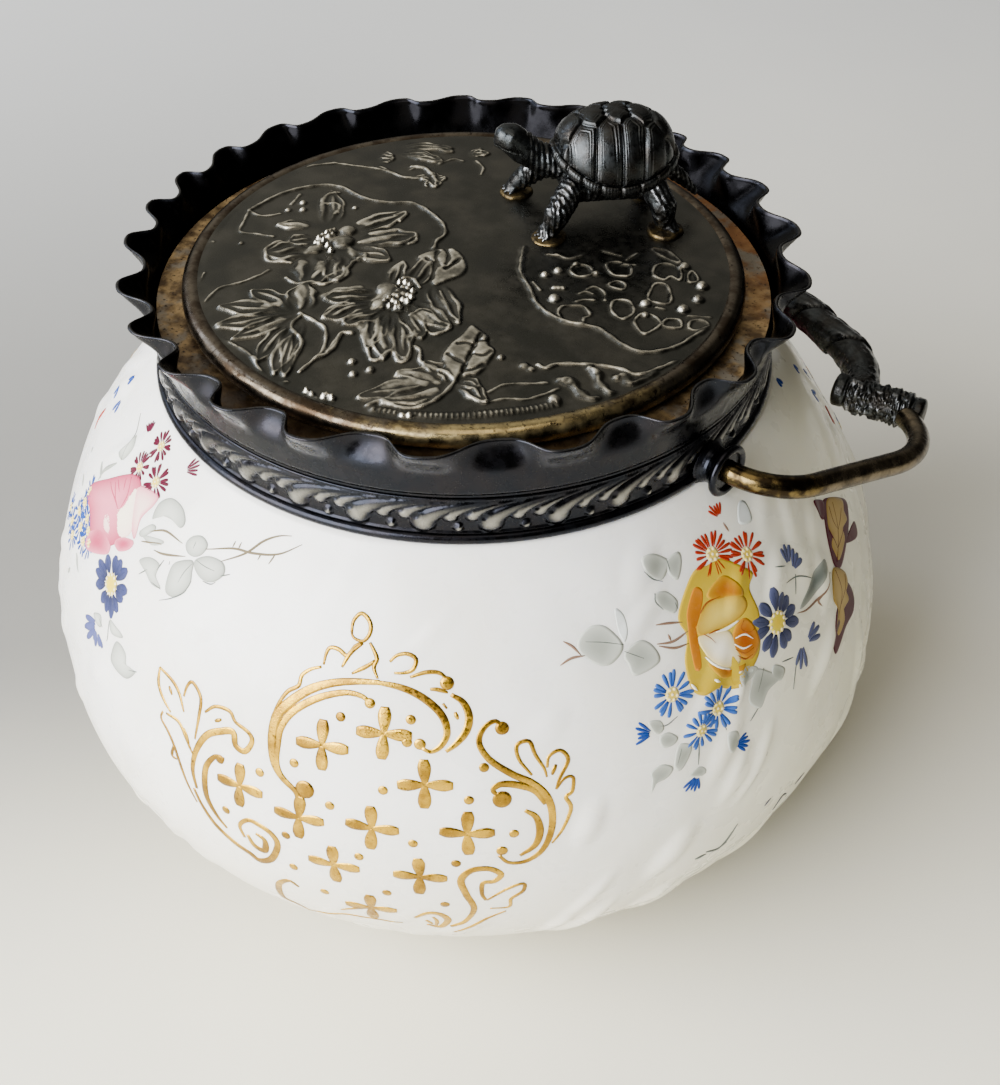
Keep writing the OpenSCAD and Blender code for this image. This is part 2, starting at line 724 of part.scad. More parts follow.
module turtle_limbs() {
    hull() {
        for (x = [-7, 6], y = [-4.5, 4.5])
            translate([x, y, hip_z - 0.3] * turtle_size)
                sphere(r = 3 * turtle_size, $fn = ball);
    }
    bone([7, 0, hip_z + 2], 3.5, [15.5, 0, 13.6], 2.6);
    bone([16.2, 0, 14.2], 2.9, [19.8, 0, 17.7], 2.95);
    bone([19.8, 0, 17.4], 2.6, [21.6, 0, 17.2], 1.4);
    bone([-11, 0, hip_z + 1.2], 1.9, [-18, 0, 3.2], 0.6);
    for (i = [0:len(feet) - 1])
        leg(hips[i], feet[i]);
}

module turtle_body() {
    color("dimgray")
        on_lid()
            difference() {
                turtle_limbs();
                shell_envelope();
                translate([-shell_l, -shell_l, -shell_rim])
                    cube([2 * shell_l, 2 * shell_l, shell_rim]);
            }
}

module turtle_solder() {
    color("darkkhaki")
        difference() {
            on_lid()
                for (foot = feet * turtle_size)
                    translate([foot[0], foot[1], -pad_r])
                        cylinder(r1 = pad_r + pad_slope, r2 = pad_r, h = pad_r, $fn = 48);
            rotate_extrude($fn = 180)
                polygon(concat(plate_line(0), [[plate_r, 0], [0, 0]]));
        }
}

// ---- Bail ----

module in_bail_plane() {
    translate([0, 0, pivot_z])
        rotate([-rest_drop, 0, 0])
            children();
}

// Points of a rod that runs through frames of [place, direction, radius] in the bail's plane
function rod_points(frames) = concat(
    [for (f = frames, j = [0:rod_sides - 1]) let (a = 360 * j / rod_sides,
        out = f[2] * cos(a) * [sin(f[1]), -cos(f[1])])
        [f[0][0] + out[0], f[0][1] + out[1], -f[2] * sin(a)]],
    [for (f = [frames[0], frames[len(frames) - 1]]) [f[0][0], f[0][1], 0]]);

// A turned journal with a small shoulder, and the bent rod that runs on from inside it
module rod_line() {
    frames = concat([[[elbow_x - 2 * shoulder_l, 0], 0, rod_r * elbow_waist]],
        [for (i = [0:rod_steps]) let (a = elbow_turn * i / rod_steps)
            [[elbow_x + elbow_r * sin(a), elbow_r * (1 - cos(a))], a,
                rod_r * (i == 0 ? elbow_waist : 1)]],
        [for (i = [0:rod_steps]) let (a = elbow_turn + hook_turn * i / rod_steps)
            [hook_mid + hook_r * [sin(a), -cos(a)], a, rod_r]]);
    translate([journal_x, 0, 0])
        rotate([0, 90, 0])
            cylinder(r = rod_r, h = elbow_x - shoulder_l - journal_x, $fn = 64);
    polyhedron(rod_points(frames), tube_faces(len(frames), rod_sides), convexity = 6);
}

module bail_rod_front() {
    color("darkgoldenrod")
        in_bail_plane()
            rod_line();
}

module bail_rod_rear() {
    color("darkgoldenrod")
        mirror([1, 0, 0])
            in_bail_plane()
                rod_line();
}

// A cut branch with a thicker stub at each end, and a boss that carries the grip
module knot() {
    difference() {
        union() {
            translate([knot_mid[0], knot_mid[1], 0])
                rotate([0, 90, knot_turn]) {
                    translate([0, 0, knot_shift - knot_l / 2])
                        cylinder(r = knot_r * 0.9, h = knot_l, $fn = 48);
                    for (end = [-1, 1])
                        translate([0, 0, knot_shift + (end * (knot_l - knot_ring) - knot_ring) / 2])
                            cylinder(r = knot_r, h = knot_ring, $fn = 48);
                }
            translate([knot_mid[0], knot_mid[1], 0])
                rotate([0, 90, 180 - wrist_dir])
                    cylinder(r = knot_r, h = norm(grip_end - knot_mid), $fn = 48);
        }
        translate([hook_mid[0], hook_mid[1], 0])
            rotate([0, 0, elbow_turn - 90])
                rotate_extrude(angle = hook_turn, $fn = 96)
                    translate([hook_r, 0])
                        circle(r = rod_r + solder_gap, $fn = 32);
    }
}

module bail_knot_front() {
    color("darkslategray")
        in_bail_plane()
            knot();
}

module bail_knot_rear() {
    color("darkslategray")
        mirror([1, 0, 0])
            in_bail_plane()
                knot();
}

// Middle line of the grip: a long bow with a tighter bend at each end
bow_l = grip_bow * bow_turn * PI / 180;
wrist_l = wrist_r * wrist_turn * PI / 180;
function grip_dir(s) = sign(s) * (abs(s) <= bow_l ? abs(s) / grip_bow * 180 / PI
    : bow_turn + (abs(s) - bow_l) / wrist_r * 180 / PI);
function grip_point(s) = abs(s) <= bow_l
    ? [grip_bow * sin(grip_dir(s)), grip_centre + grip_bow * cos(grip_dir(s))]
    : [sign(s) * wrist_mid[0] + wrist_r * sin(grip_dir(s)),
        wrist_mid[1] + wrist_r * cos(grip_dir(s))];

// Radius of the grip: leaf sheaths that wind round it, each one thicker than the last one's tip
function sheath(s, a, half) = let (t = abs(s) / sheath_l + a / 360, part = t - floor(t),
    fade = min(1, (half - abs(s)) / 6)) grip_r * (0.94 + 0.18 * (part - 0.35) * fade);

module bail_grip() {
    half = bow_l + wrist_l;
    rings = 2 * ceil(half / grip_step);
    points = [for (i = [0:rings]) let (s = half * (2 * i / rings - 1), d = grip_dir(s),
        p = grip_point(s), out = [sin(d), cos(d)])
        for (j = [0:grip_sides - 1]) let (a = 360 * j / grip_sides, r = sheath(s, a, half))
            [p[0] + out[0] * r * cos(a), p[1] + out[1] * r * cos(a), r * sin(a)]];
    ends = [for (x = [-1, 1]) [x * grip_end[0], grip_end[1], 0]];
    color("darkslategray")
        in_bail_plane()
            polyhedron(concat(points, ends), tube_faces(rings + 1, grip_sides), convexity = 6);
}

glass_bowl();
plaster_seal();
collar_wall();
collar_foot_bead();
gadroon_strip();
collar_frill();
seat_ring();
handle_lug_front();
handle_lug_rear();
lug_wire_front();
lug_wire_rear();
lid_plate();
lid_rim_bead();
lid_flange();
turtle_shell();
turtle_body();
turtle_solder();
bail_rod_front();
bail_rod_rear();
bail_knot_front();
bail_knot_rear();
bail_grip();
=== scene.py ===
"""Looks of the covered biscuit jar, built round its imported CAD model.

Blender works in metres. Lengths here are in millimetres, and MM turns them into metres where
a mesh, a light or the camera is made. +Z is up, and the bail turns about a line along X.
"""

import math

import bmesh
import bpy
import numpy as np
from mathutils import Matrix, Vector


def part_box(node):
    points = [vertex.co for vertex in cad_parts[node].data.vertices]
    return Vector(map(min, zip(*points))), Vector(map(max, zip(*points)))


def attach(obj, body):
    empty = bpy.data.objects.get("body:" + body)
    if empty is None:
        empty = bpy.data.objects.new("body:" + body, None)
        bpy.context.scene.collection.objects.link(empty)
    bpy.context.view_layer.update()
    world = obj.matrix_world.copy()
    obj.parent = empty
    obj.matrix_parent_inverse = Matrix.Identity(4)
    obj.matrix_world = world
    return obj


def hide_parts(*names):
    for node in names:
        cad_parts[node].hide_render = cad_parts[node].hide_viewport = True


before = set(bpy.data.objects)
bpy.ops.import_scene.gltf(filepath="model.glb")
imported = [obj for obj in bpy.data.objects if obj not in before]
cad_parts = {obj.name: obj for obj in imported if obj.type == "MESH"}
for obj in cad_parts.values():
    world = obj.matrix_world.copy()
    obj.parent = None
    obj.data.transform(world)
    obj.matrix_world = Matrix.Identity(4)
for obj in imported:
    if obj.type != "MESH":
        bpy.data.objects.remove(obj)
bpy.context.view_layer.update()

MM = 0.001
TURN = 2 * math.pi
RANDOM = np.random.default_rng(7)

# ---- Sizes of the jar that the looks share with the CAD model ----

BOWL_R = (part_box("glass_bowl")[1].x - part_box("glass_bowl")[0].x) / 2 / MM
BELLY_Z = 50.0
SHOULDER_RISE, SHOULDER_POWER = 84.0, 1.93
FOOT_DROP, FOOT_POWER = 60.0, 2.17
BOWL_WALL, FLOOR_T, PUSH_UP, FOOT_RING_W = 4.0, 5.0, 1.2, 7.0
NECK_R, NECK_WALL, NECK_FILLET = 57.5, 4.0, 1.0
LEDGE_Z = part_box("collar_foot_bead")[0].z / MM
RIM_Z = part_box("glass_bowl")[1].z / MM

WALL_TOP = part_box("collar_wall")[1].z / MM
LIP_W = 0.8
WALL_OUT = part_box("collar_wall")[1].x / MM - LIP_W
STRIP_LOW, STRIP_HIGH = [corner.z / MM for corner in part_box("gadroon_strip")]
STRIP_T, LOBE_H, GADROONS = 0.35, 0.8, 32
FRILL_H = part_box("collar_frill")[1].z / MM - WALL_TOP
FRILL_T, CREST_OUT, CRIMP_DEPTH, FRILL_LEAN, FRILL_BACK = 0.8, 6.6, 2.2, 2.2, 133
# Directions of the hand-made crimps, in degrees
CREST_TURNS = [5, 19.5, 35, 52, 67, 79, 89.5, 99.5, 110, 122, 133.5, 145.5, 158.5, 170.5, 183.5,
    194.5, 205, 216.5, 232, 245, 257.5, 271.5, 286.5, 306.5, 330, 349]
CRIMPS, CRIMP_LEAN = len(CREST_TURNS), 0.9
SEAT_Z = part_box("seat_ring")[1].z / MM
SEAT_OUT = 60.1
LID_T, LID_DOME, RIM_BEAD_R = 1.2, 0.87, 2.2
PLATE_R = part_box("lid_plate")[1].x / MM
PLATE_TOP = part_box("lid_rim_bead")[1].z / MM - 0.12 * RIM_BEAD_R + LID_DOME

# ---- Camera ----

PICTURE_W, PICTURE_H = 1000, 1085
SENSOR_W, FOCAL = 36.0, 1750.0
PRINCIPAL = (465.55, 532.63)
VIEW_TURN = math.radians(43)
VIEW_DOWN = math.radians(40.754)
VIEW_ROLL = math.radians(-0.453)
EYE_OUT, EYE_UP = 293.67, 312.32


def view_axes():
    """The eye, in millimetres, and the directions right, up and ahead of the view."""
    side = np.array([math.cos(VIEW_TURN), math.sin(VIEW_TURN), 0.0])
    inward = np.array([-math.sin(VIEW_TURN), math.cos(VIEW_TURN), 0.0])
    z = np.array([0.0, 0.0, 1.0])
    ahead = inward * math.cos(VIEW_DOWN) - z * math.sin(VIEW_DOWN)
    above = np.cross(side, ahead)
    right = math.cos(VIEW_ROLL) * side + math.sin(VIEW_ROLL) * above
    up = math.cos(VIEW_ROLL) * above - math.sin(VIEW_ROLL) * side
    return z * EYE_UP - inward * EYE_OUT, right, up, ahead


EYE, RIGHT, UP, AHEAD = view_axes()


def link(thing):
    bpy.context.scene.collection.objects.link(thing)
    return thing


def make_camera():
    data = bpy.data.cameras.new("camera")
    data.sensor_width = SENSOR_W
    data.lens = FOCAL / PICTURE_H * data.sensor_width
    data.shift_x = (PICTURE_W / 2 - PRINCIPAL[0]) / PICTURE_H
    data.shift_y = (PRINCIPAL[1] - PICTURE_H / 2) / PICTURE_H
    data.clip_start, data.clip_end = 0.02, 20.0
    camera = link(bpy.data.objects.new("camera", data))
    columns = np.array([RIGHT, UP, -AHEAD, EYE * MM])
    camera.matrix_world = Matrix(columns.T.tolist() + [[0, 0, 0, 1]])
    bpy.context.scene.camera = camera


def sight(pixels):
    """Rays from the eye through pixels of the 1000 by 1085 picture."""
    p = np.atleast_2d(np.asarray(pixels, float))
    return (AHEAD + np.outer((p[:, 0] - PRINCIPAL[0]) / FOCAL, RIGHT)
            - np.outer((p[:, 1] - PRINCIPAL[1]) / FOCAL, UP))


# ---- Shapes of numbers ----

def around(count):
    """Evenly spaced angles of one whole turn."""
    return np.arange(count) * TURN / count


def wrapped(angle):
    """Angles brought between minus and plus half a turn."""
    return (angle + math.pi) % TURN - math.pi


def smooth(t):
    s = np.clip(t, 0.0, 1.0)
    return s * s * (3 - 2 * s)


def ramp(x, low, high):
    return smooth((np.asarray(x, float) - low) / (high - low))


def scatter(i, j, k, seed):
    """A fixed random number from -1 to 1 for each cell of a lattice."""
    mask = 0xFFFFFFFF
    h = (i * 374761393 + j * 668265263 + k * 2246822519 + seed * 3266489917) & mask
    h = ((h ^ (h >> 15)) * 2246822519) & mask
    h = ((h ^ (h >> 13)) * 3266489917) & mask
    return ((h ^ (h >> 16)) & 0xFFFF) / 32767.5 - 1


def cloud(points, size, seed):
    """Smooth noise from -1 to 1 whose lumps are about size across."""
    p = np.asarray(points, float) / size
    cell = np.floor(p).astype(np.int64)
    f = p - cell
    f = f * f * (3 - 2 * f)
    total = 0.0
    for corner in range(8):
        o = np.array([corner & 1, corner >> 1 & 1, corner >> 2 & 1])
        share = np.prod(np.where(o == 1, f, 1 - f), axis=-1)
        total = total + share * scatter(*(cell + o)[..., :].T, seed).T
    return total


def through(points, step=0.6, closed=False):
    """Points every step along a smooth line through the given ones, in any dimension."""
    p = np.asarray(points, float)
    if len(p) < 3 and not closed:
        spread = np.linspace(0, 1, max(2, int(np.linalg.norm(p[-1] - p[0]) / step) + 1))
        return p[0] + np.outer(spread, p[-1] - p[0])
    if closed:
        p = np.vstack([p[-1], p, p[:2]])
    else:
        p = np.vstack([2 * p[0] - p[1], p, 2 * p[-1] - p[-2]])
    line = []
    for a, b, c, d in zip(p[:-3], p[1:-2], p[2:-1], p[3:]):
        t = np.linspace(0, 1, max(2, int(np.linalg.norm(c - b) / step) + 1), endpoint=False)
        t = t[:, None]
        line.append(b + 0.5 * t * (c - a + t * (2 * a - 5 * b + 4 * c - d
                                                + t * (3 * (b - c) + d - a))))
    if not closed:
        line.append(p[-2:-1])
    return np.vstack(line)


# ---- Meshes ----

def linear(code):
    """Linear colour of a six-digit colour code."""
    c = np.array(list(bytes.fromhex(code))) / 255
    return np.where(c > 0.04045, ((c + 0.055) / 1.055) ** 2.4, c / 12.92)


def grid_faces(rows, cols, closed_rows=False, closed_cols=True):
    """Quads between the points of a grid that is stored row by row."""
    i = np.arange(rows if closed_rows else rows - 1)[:, None]
    j = np.arange(cols if closed_cols else cols - 1)[None, :]
    a, b = i * cols, (i + 1) % rows * cols
    quads = np.stack([a + j, a + (j + 1) % cols, b + (j + 1) % cols, b + j], -1)
    return quads.reshape(-1, 4)


def capped_grid(rows, cols):
    """Faces of a stack of rings with a fan at each end, to the two points after the grid."""
    sides = [tuple(q) for q in grid_faces(rows, cols)]
    first, last = rows * cols, rows * cols + 1
    top = (rows - 1) * cols
    low = [(j, first, (j + 1) % cols) for j in range(cols)]
    high = [(top + j, top + (j + 1) % cols, last) for j in range(cols)]
    return sides + low + high


def make_piece(name, points, faces, material, body, values=None, colours=None,
               replaces=()):
    """A smooth mesh piece that rides on a body. Points are in millimetres."""
    mesh = bpy.data.meshes.new(name)
    mesh.from_pydata((np.asarray(points, float) * MM).tolist(), [],
                     [tuple(int(v) for v in face) for face in faces])
    if values is not None:
        worn = mesh.attributes.new("worn", "FLOAT", "POINT")
        worn.data.foreach_set("value", np.asarray(values, np.float32).ravel())
    if colours is not None:
        paint = mesh.color_attributes.new("paint", "FLOAT_COLOR", "POINT")
        rgba = np.ones((len(points), 4), np.float32)
        rgba[:, :3] = colours
        paint.data.foreach_set("color", rgba.ravel())
    mesh.polygons.foreach_set("use_smooth", [True] * len(mesh.polygons))
    mesh.materials.append(material)
    mesh.validate()
    mesh.update()
    piece = link(bpy.data.objects.new(name, mesh))
    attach(piece, body)
    if replaces:
        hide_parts(*replaces)
    return piece


# ---- Materials ----

class Nodes:
    """Short ways to add shader nodes to a tree. Colours may be six-digit codes."""

    def __init__(self, tree, space):
        self.tree = tree
        self.place = self.node("TexCoord", space)

    def put(self, socket, value):
        if isinstance(value, bpy.types.NodeSocket):
            self.tree.links.new(value, socket)
            return
        if isinstance(value, str):
            value = linear(value)
        if socket.type == "RGBA":
            value = (*value, 1.0)
        socket.default_value = value

    def node(self, kind, output, inputs=(), **settings):
        """Adds a node, fills its inputs, and gives one of its outputs."""
        node = self.tree.nodes.new("ShaderNode" + kind)
        for name, value in settings.items():
            setattr(node, name, value)
        for name, value in dict(inputs).items():
            self.put(node.inputs[name], value)
        return node.outputs[output]

    def noise(self, size, detail=3.0, rough=0.55, twist=0.0):
        """Noise from 0 to 1 whose lumps are size millimetres across."""
        scaled = self.node("Mapping", 0, {"Vector": self.place, "Scale": [1 / (size * MM)] * 3})
        return self.node("TexNoise", "Fac", {"Vector": scaled, "Scale": 1.0, "Detail": detail,
                                             "Roughness": rough, "Distortion": twist})

    def span(self, value, low, high, to_low=0.0, to_high=1.0):
        return self.node("MapRange", "Result",
                         {"Value": value, "From Min": low, "From Max": high,
                          "To Min": to_low, "To Max": to_high}, interpolation_type="SMOOTHSTEP")

    def math(self, kind, a, b):
        return self.node("Math", 0, {0: a, 1: b}, operation=kind)

    def mix(self, share, a, b):
        return self.node("Mix", 2, {0: share, 6: a, 7: b}, data_type="RGBA")

    def blotch(self, size, detail, low, high, a, b, **noise):
        """Colours a and b in blotches of size millimetres."""
        return self.mix(self.span(self.noise(size, detail, **noise), low, high), a, b)

    def worn(self):
        return self.node("Attribute", "Fac", attribute_name="worn")

    def uneven(self, value, size, share, detail=3.0, rough=0.55):
        """A value with a share of noise added to it."""
        grain = self.math("MULTIPLY", self.noise(size, detail, rough), share)
        return self.math("ADD", value, grain)

    def along(self, turn, rise=0):
        """How far a place lies from the middle in a direction of the view."""
        return self.node("VectorMath", "Value", {0: self.place, 1: toward(turn, rise)},
                         operation="DOT_PRODUCT")

    def height(self):
        return self.node("SeparateXYZ", "Z", {0: self.place})


class Finish(Nodes):
    """One material."""

    def __init__(self, name):
        self.material = bpy.data.materials.new(name)
        self.material.use_nodes = True
        super().__init__(self.material.node_tree, "Object")
        self.shader = self.tree.nodes["Principled BSDF"]

    def set(self, **inputs):
        for name, value in inputs.items():
            self.put(self.shader.inputs[name.replace("_", " ")], value)

    def metal(self, colour, roughness, metallic=1.0):
        self.set(Base_Color=colour, Metallic=metallic, Roughness=roughness)

    def bump(self, size, detail, depth, strength):
        """Bump of depth millimetres whose lumps are size across. It completes the material."""
        self.put(self.shader.inputs["Normal"],
                 self.node("Bump", 0, {"Strength": strength, "Distance": depth * MM,
                                       "Height": self.noise(size, detail)}))
        return self.material


def opal_glass():
    """Satin white glass, creamier towards the foot and on the ridged side: both tints are painted
    warm shade.
    """
    f = Finish("opal_glass")
    # Painted warm shade: the glass is made creamier and darker towards the foot.
    tone = f.mix(f.span(f.height(), 0.0, 0.07, 0.8, 0.0), "f6f5f1", "ece2c4")
    # Painted warm shade on the ridged side, right of the camera's view and away from the key lamp.
    tone = f.mix(f.span(f.along(-8), 0.035, 0.085, 0.0, 0.9), tone, "e8e5c8")
    tone = f.mix(f.span(f.noise(22), 0.35, 0.7, 0.0, 0.35), tone, "e9e4d6")
    f.set(Base_Color=tone, Roughness=f.span(f.noise(9), 0.3, 0.7, 0.24, 0.34),
          Subsurface_Weight=0.25, Subsurface_Scale=0.004, Subsurface_Radius=(1.0, 0.9, 0.7),
          Specular_IOR_Level=0.5, Coat_Weight=0.25, Coat_Roughness=0.12)
    return f.bump(1.6, 2.0, 0.03, 0.35)


def enamel():
    """Fired paint whose colour is stored on the strokes, uneven as a brush leaves it."""
    f = Finish("enamel")
    colour = f.node("Attribute", "Color", attribute_name="paint")
    f.set(Base_Color=f.mix(f.span(f.noise(1.3, 4.0), 0.45, 0.75, 0.0, 0.02), colour, "f1eee6"),
          Roughness=0.35, Specular_IOR_Level=0.06)
    return f.bump(0.5, 2.0, 0.02, 0.5)


def gilding():
    """Fired gold, rubbed darker in places."""
    f = Finish("gilding")
    tone = f.blotch(7, 4.0, 0.38, 0.62, "8e6a1a", "cda22c")
    f.metal(f.blotch(0.9, 3.0, 0.60, 0.72, tone, "63480f"),
            f.span(f.noise(0.8), 0.3, 0.7, 0.14, 0.42), 0.9)
    return f.bump(0.35, 2.0, 0.05, 0.8)


def plaster():
    f = Finish("plaster")
    f.set(Base_Color=f.mix(f.noise(3), "cfc8b8", "e2ddd0"), Roughness=0.9)
    return f.bump(0.4, 3.0, 0.08, 1.0)


def dark_silver():
    """Silver plate gone black, polished where the stored value worn is high, and made nearly
    black, a painted shade, where it is below zero.
    """
    f = Finish("oxidised_plate")
    film = f.blotch(6, 4.0, 0.35, 0.7, "212329", "27262a")
    # Painted shade: where worn is below zero, on the frill's inner face, the plate is made nearly
    # black.
    film = f.mix(f.span(f.worn(), -0.5, -0.1), "101012", film)
    shine = f.span(f.uneven(f.worn(), 1.2, 0.25), 0.35, 1.2)
    f.metal(f.mix(shine, film, "96948f"), f.span(f.noise(2.2, 4.0), 0.3, 0.75, 0.19, 0.39))
    return f.bump(0.5, 3.0, 0.03, 0.6)


def worn_seat():
    """Plate worn through to copper and rusty at the right and the back. Its front is darkened as a
    painted shade, where the frill's shadow falls.
    """
    f = Finish("worn_seat")
    tone = f.blotch(3.2, 5.0, 0.35, 0.65, "a58a60", "4c3a24")
    tone = f.mix(f.span(f.uneven(f.along(62), 9, 0.05, 4.0), 0.03, 0.085), tone, "8e5f36")
    tone = f.blotch(7, 4.0, 0.5, 0.64, tone, "7f776a")
    # Painted shade: the front of the seat is darkened where the frill's shadow falls on it.
    shade = f.span(f.uneven(f.along(-105), 6, 0.03, 4.0), 0.03, 0.07, 0.0, 0.85)
    tone = f.mix(shade, tone, "2e1f12")
    f.metal(f.blotch(0.9, 4.0, 0.58, 0.66, tone, "1c120c", rough=0.7),
            f.span(f.noise(1.8), 0.3, 0.7, 0.3, 0.55), 0.8)
    return f.bump(0.6, 4.0, 0.06, 0.8)


def tarnished_brass():
    """Plate gone brown, with a pale gold band on its front that is a painted highlight where the
    bead faces the camera.
    """
    f = Finish("tarnished_brass")
    tone = f.blotch(5, 5.0, 0.38, 0.62, "5f574c", "3b3025", rough=0.6)
    # Painted highlight: the bead is made pale gold where it faces the camera.
    brightened = f.uneven(f.along(-80), 4, 0.03, 4.0, 0.65)
    tone = f.mix(f.span(brightened, 0.06, 0.074), tone, "c2ae7c")
    f.metal(f.blotch(1.4, 4.0, 0.56, 0.68, tone, "2e251c", rough=0.7),
            f.span(f.noise(2.5, 4.0), 0.3, 0.75, 0.2, 0.42))
    return f.bump(0.7, 3.0, 0.03, 0.6)


def pewter_lid():
    """Dark pewter whose relief is rubbed bright in places."""
    f = Finish("pewter_lid")
    film = f.blotch(8, 5.0, 0.35, 0.7, "3b3b37", "504e48")
    shine = f.math("MULTIPLY", f.span(f.uneven(f.worn(), 1.0, 0.3), 0.36, 1.0),
                   f.span(f.noise(4.5, 3.0), 0.36, 0.6, 0.3, 1.0))
    f.metal(f.mix(shine, film, "d8d2c2"), f.span(f.noise(2.0, 4.0), 0.3, 0.75, 0.24, 0.42))
    return f.bump(0.35, 3.0, 0.04, 0.7)


def cast_metal(name):
    """Dark cast metal, rubbed where the stored value worn is high."""
    f = Finish(name)
    film = f.blotch(4, 4.0, 0.35, 0.7, "383b3d", "2b2927")
    shine = f.math("MULTIPLY", f.span(f.uneven(f.worn(), 1.2, 0.35), 0.55, 1.4),
                   f.span(f.noise(2.0), 0.3, 0.7))
    f.metal(f.mix(shine, film, "8e9094"), f.span(f.noise(1.2, 4.0), 0.3, 0.75, 0.22, 0.44))
    return f.bump(0.3, 3.0, 0.05, 0.8)


def worn_rod():
    """Brown-grey plate with gold showing through near the lugs."""
    f = Finish("worn_rod")
    grey = f.blotch(4, 5.0, 0.38, 0.64, "463e32", "6e6352", rough=0.6, twist=0.5)
    gold = f.blotch(3, 4.0, 0.4, 0.6, "6a5a38", "2a2217")
    tone = f.mix(f.span(f.uneven(f.worn(), 3.5, 1.0, 4.0), 0.75, 1.25), grey, gold)
    f.metal(f.blotch(2.2, 4.0, 0.55, 0.75, tone, "2b2723", rough=0.7),
            f.span(f.noise(1.8, 4.0), 0.3, 0.75, 0.17, 0.36))
    return f.bump(0.6, 3.0, 0.04, 0.6)


def solder_metal():
    """Dull yellow-brown solder."""
    f = Finish("solder")
    f.metal(f.blotch(2.5, 4.0, 0.4, 0.65, "5e5034", "2a251e"), 0.42)
    return f.bump(0.8, 3.0, 0.12, 0.8)


# ---- The bowl's side, as distance up its outside ----

def radius_at(z):
    """Radius of the smooth bowl at a height."""
    up = np.clip((z - BELLY_Z) / SHOULDER_RISE, 0, 1) ** SHOULDER_POWER
    down = np.clip((BELLY_Z - z) / FOOT_DROP, 0, 1) ** FOOT_POWER
    return BOWL_R * np.where(z >= BELLY_Z, (1 - up) ** (1 / SHOULDER_POWER),
                             (1 - down) ** (1 / FOOT_POWER))


# Reach of the slope's measure, and where on a ray from the eye the bowl is looked for
SLOPE_STEP = 0.4
SIGHT_NEAR, SIGHT_FAR, SIGHT_STEPS = 250, 520, 1400
SIDE_POINTS = 2000
SIDE_Z = np.linspace(0, LEDGE_Z, SIDE_POINTS)
SIDE_R = radius_at(SIDE_Z)
SIDE_S = np.concatenate([[0], np.cumsum(np.hypot(np.diff(SIDE_Z), np.diff(SIDE_R)))])
SIDE_L = SIDE_S[-1]


def side_at(s):
    """Radius, height and outward direction (radial, up) at distance s up the bowl's side."""
    r, z = np.interp(s, SIDE_S, SIDE_R), np.interp(s, SIDE_S, SIDE_Z)
    a, b = np.clip(s - SLOPE_STEP, 0, SIDE_L), np.clip(s + SLOPE_STEP, 0, SIDE_L)
    dr = np.interp(b, SIDE_S, SIDE_R) - np.interp(a, SIDE_S, SIDE_R)
    dz = np.interp(b, SIDE_S, SIDE_Z) - np.interp(a, SIDE_S, SIDE_Z)
    length = np.hypot(dr, dz)
    return r, z, dz / length, -dr / length


def side_point(turn, s, lift=0.0):
    """Points on the smooth bowl, raised by lift."""
    r, z, out, up = side_at(s)
    r, z = r + lift * out, z + lift * up
    return np.stack([r * np.cos(turn), r * np.sin(turn), z], -1)


def on_bowl(pixels):
    """Direction round the bowl and distance up its side of the places that pixels show."""
    found = []
    for ray in sight(pixels):
        p = EYE + np.outer(np.linspace(SIGHT_NEAR, SIGHT_FAR, SIGHT_STEPS), ray)
        off = np.hypot(p[:, 0], p[:, 1]) - radius_at(p[:, 2])
        level = (p[:, 2] > 0) & (p[:, 2] < LEDGE_Z)
        inside = (off < 0) & level
        hit = p[np.argmax(inside) if inside.any() else np.argmin(off + 1000 * ~level)]
        found.append((math.atan2(hit[1], hit[0]), np.interp(hit[2], SIDE_Z, SIDE_S)))
    return np.array(found)


# ---- Blown relief of the glass ----

GLASS_STEP = 0.85
GLASS_COLS = int(TURN * BOWL_R / GLASS_STEP)
GLASS_ROWS = int(SIDE_L / GLASS_STEP)
# Calm and rough places: pixel, width and height in millimetres
CARTOUCHE = ((345, 790), 58, 46)
SMOOTH_FRONT = ((300, 600), 70, 45)
ROUGH_SIDE = ((745, 800), 72, 62)
RIDGES, RIDGE_SLANT, SLANT_SPREAD = 300, 54, 9


def zone(turn, s, spot, turned=0.0):
    """1 in the middle of a spot on the bowl, falling to 0 at its width and height."""
    pixel, wide, tall = spot
    a0, s0 = on_bowl([pixel])[0]
    across = wrapped(turn - a0 - turned) * side_at(s)[0]
    return 1 - ramp(np.hypot(across / wide, (s - s0) / tall), 0.55, 1.0)


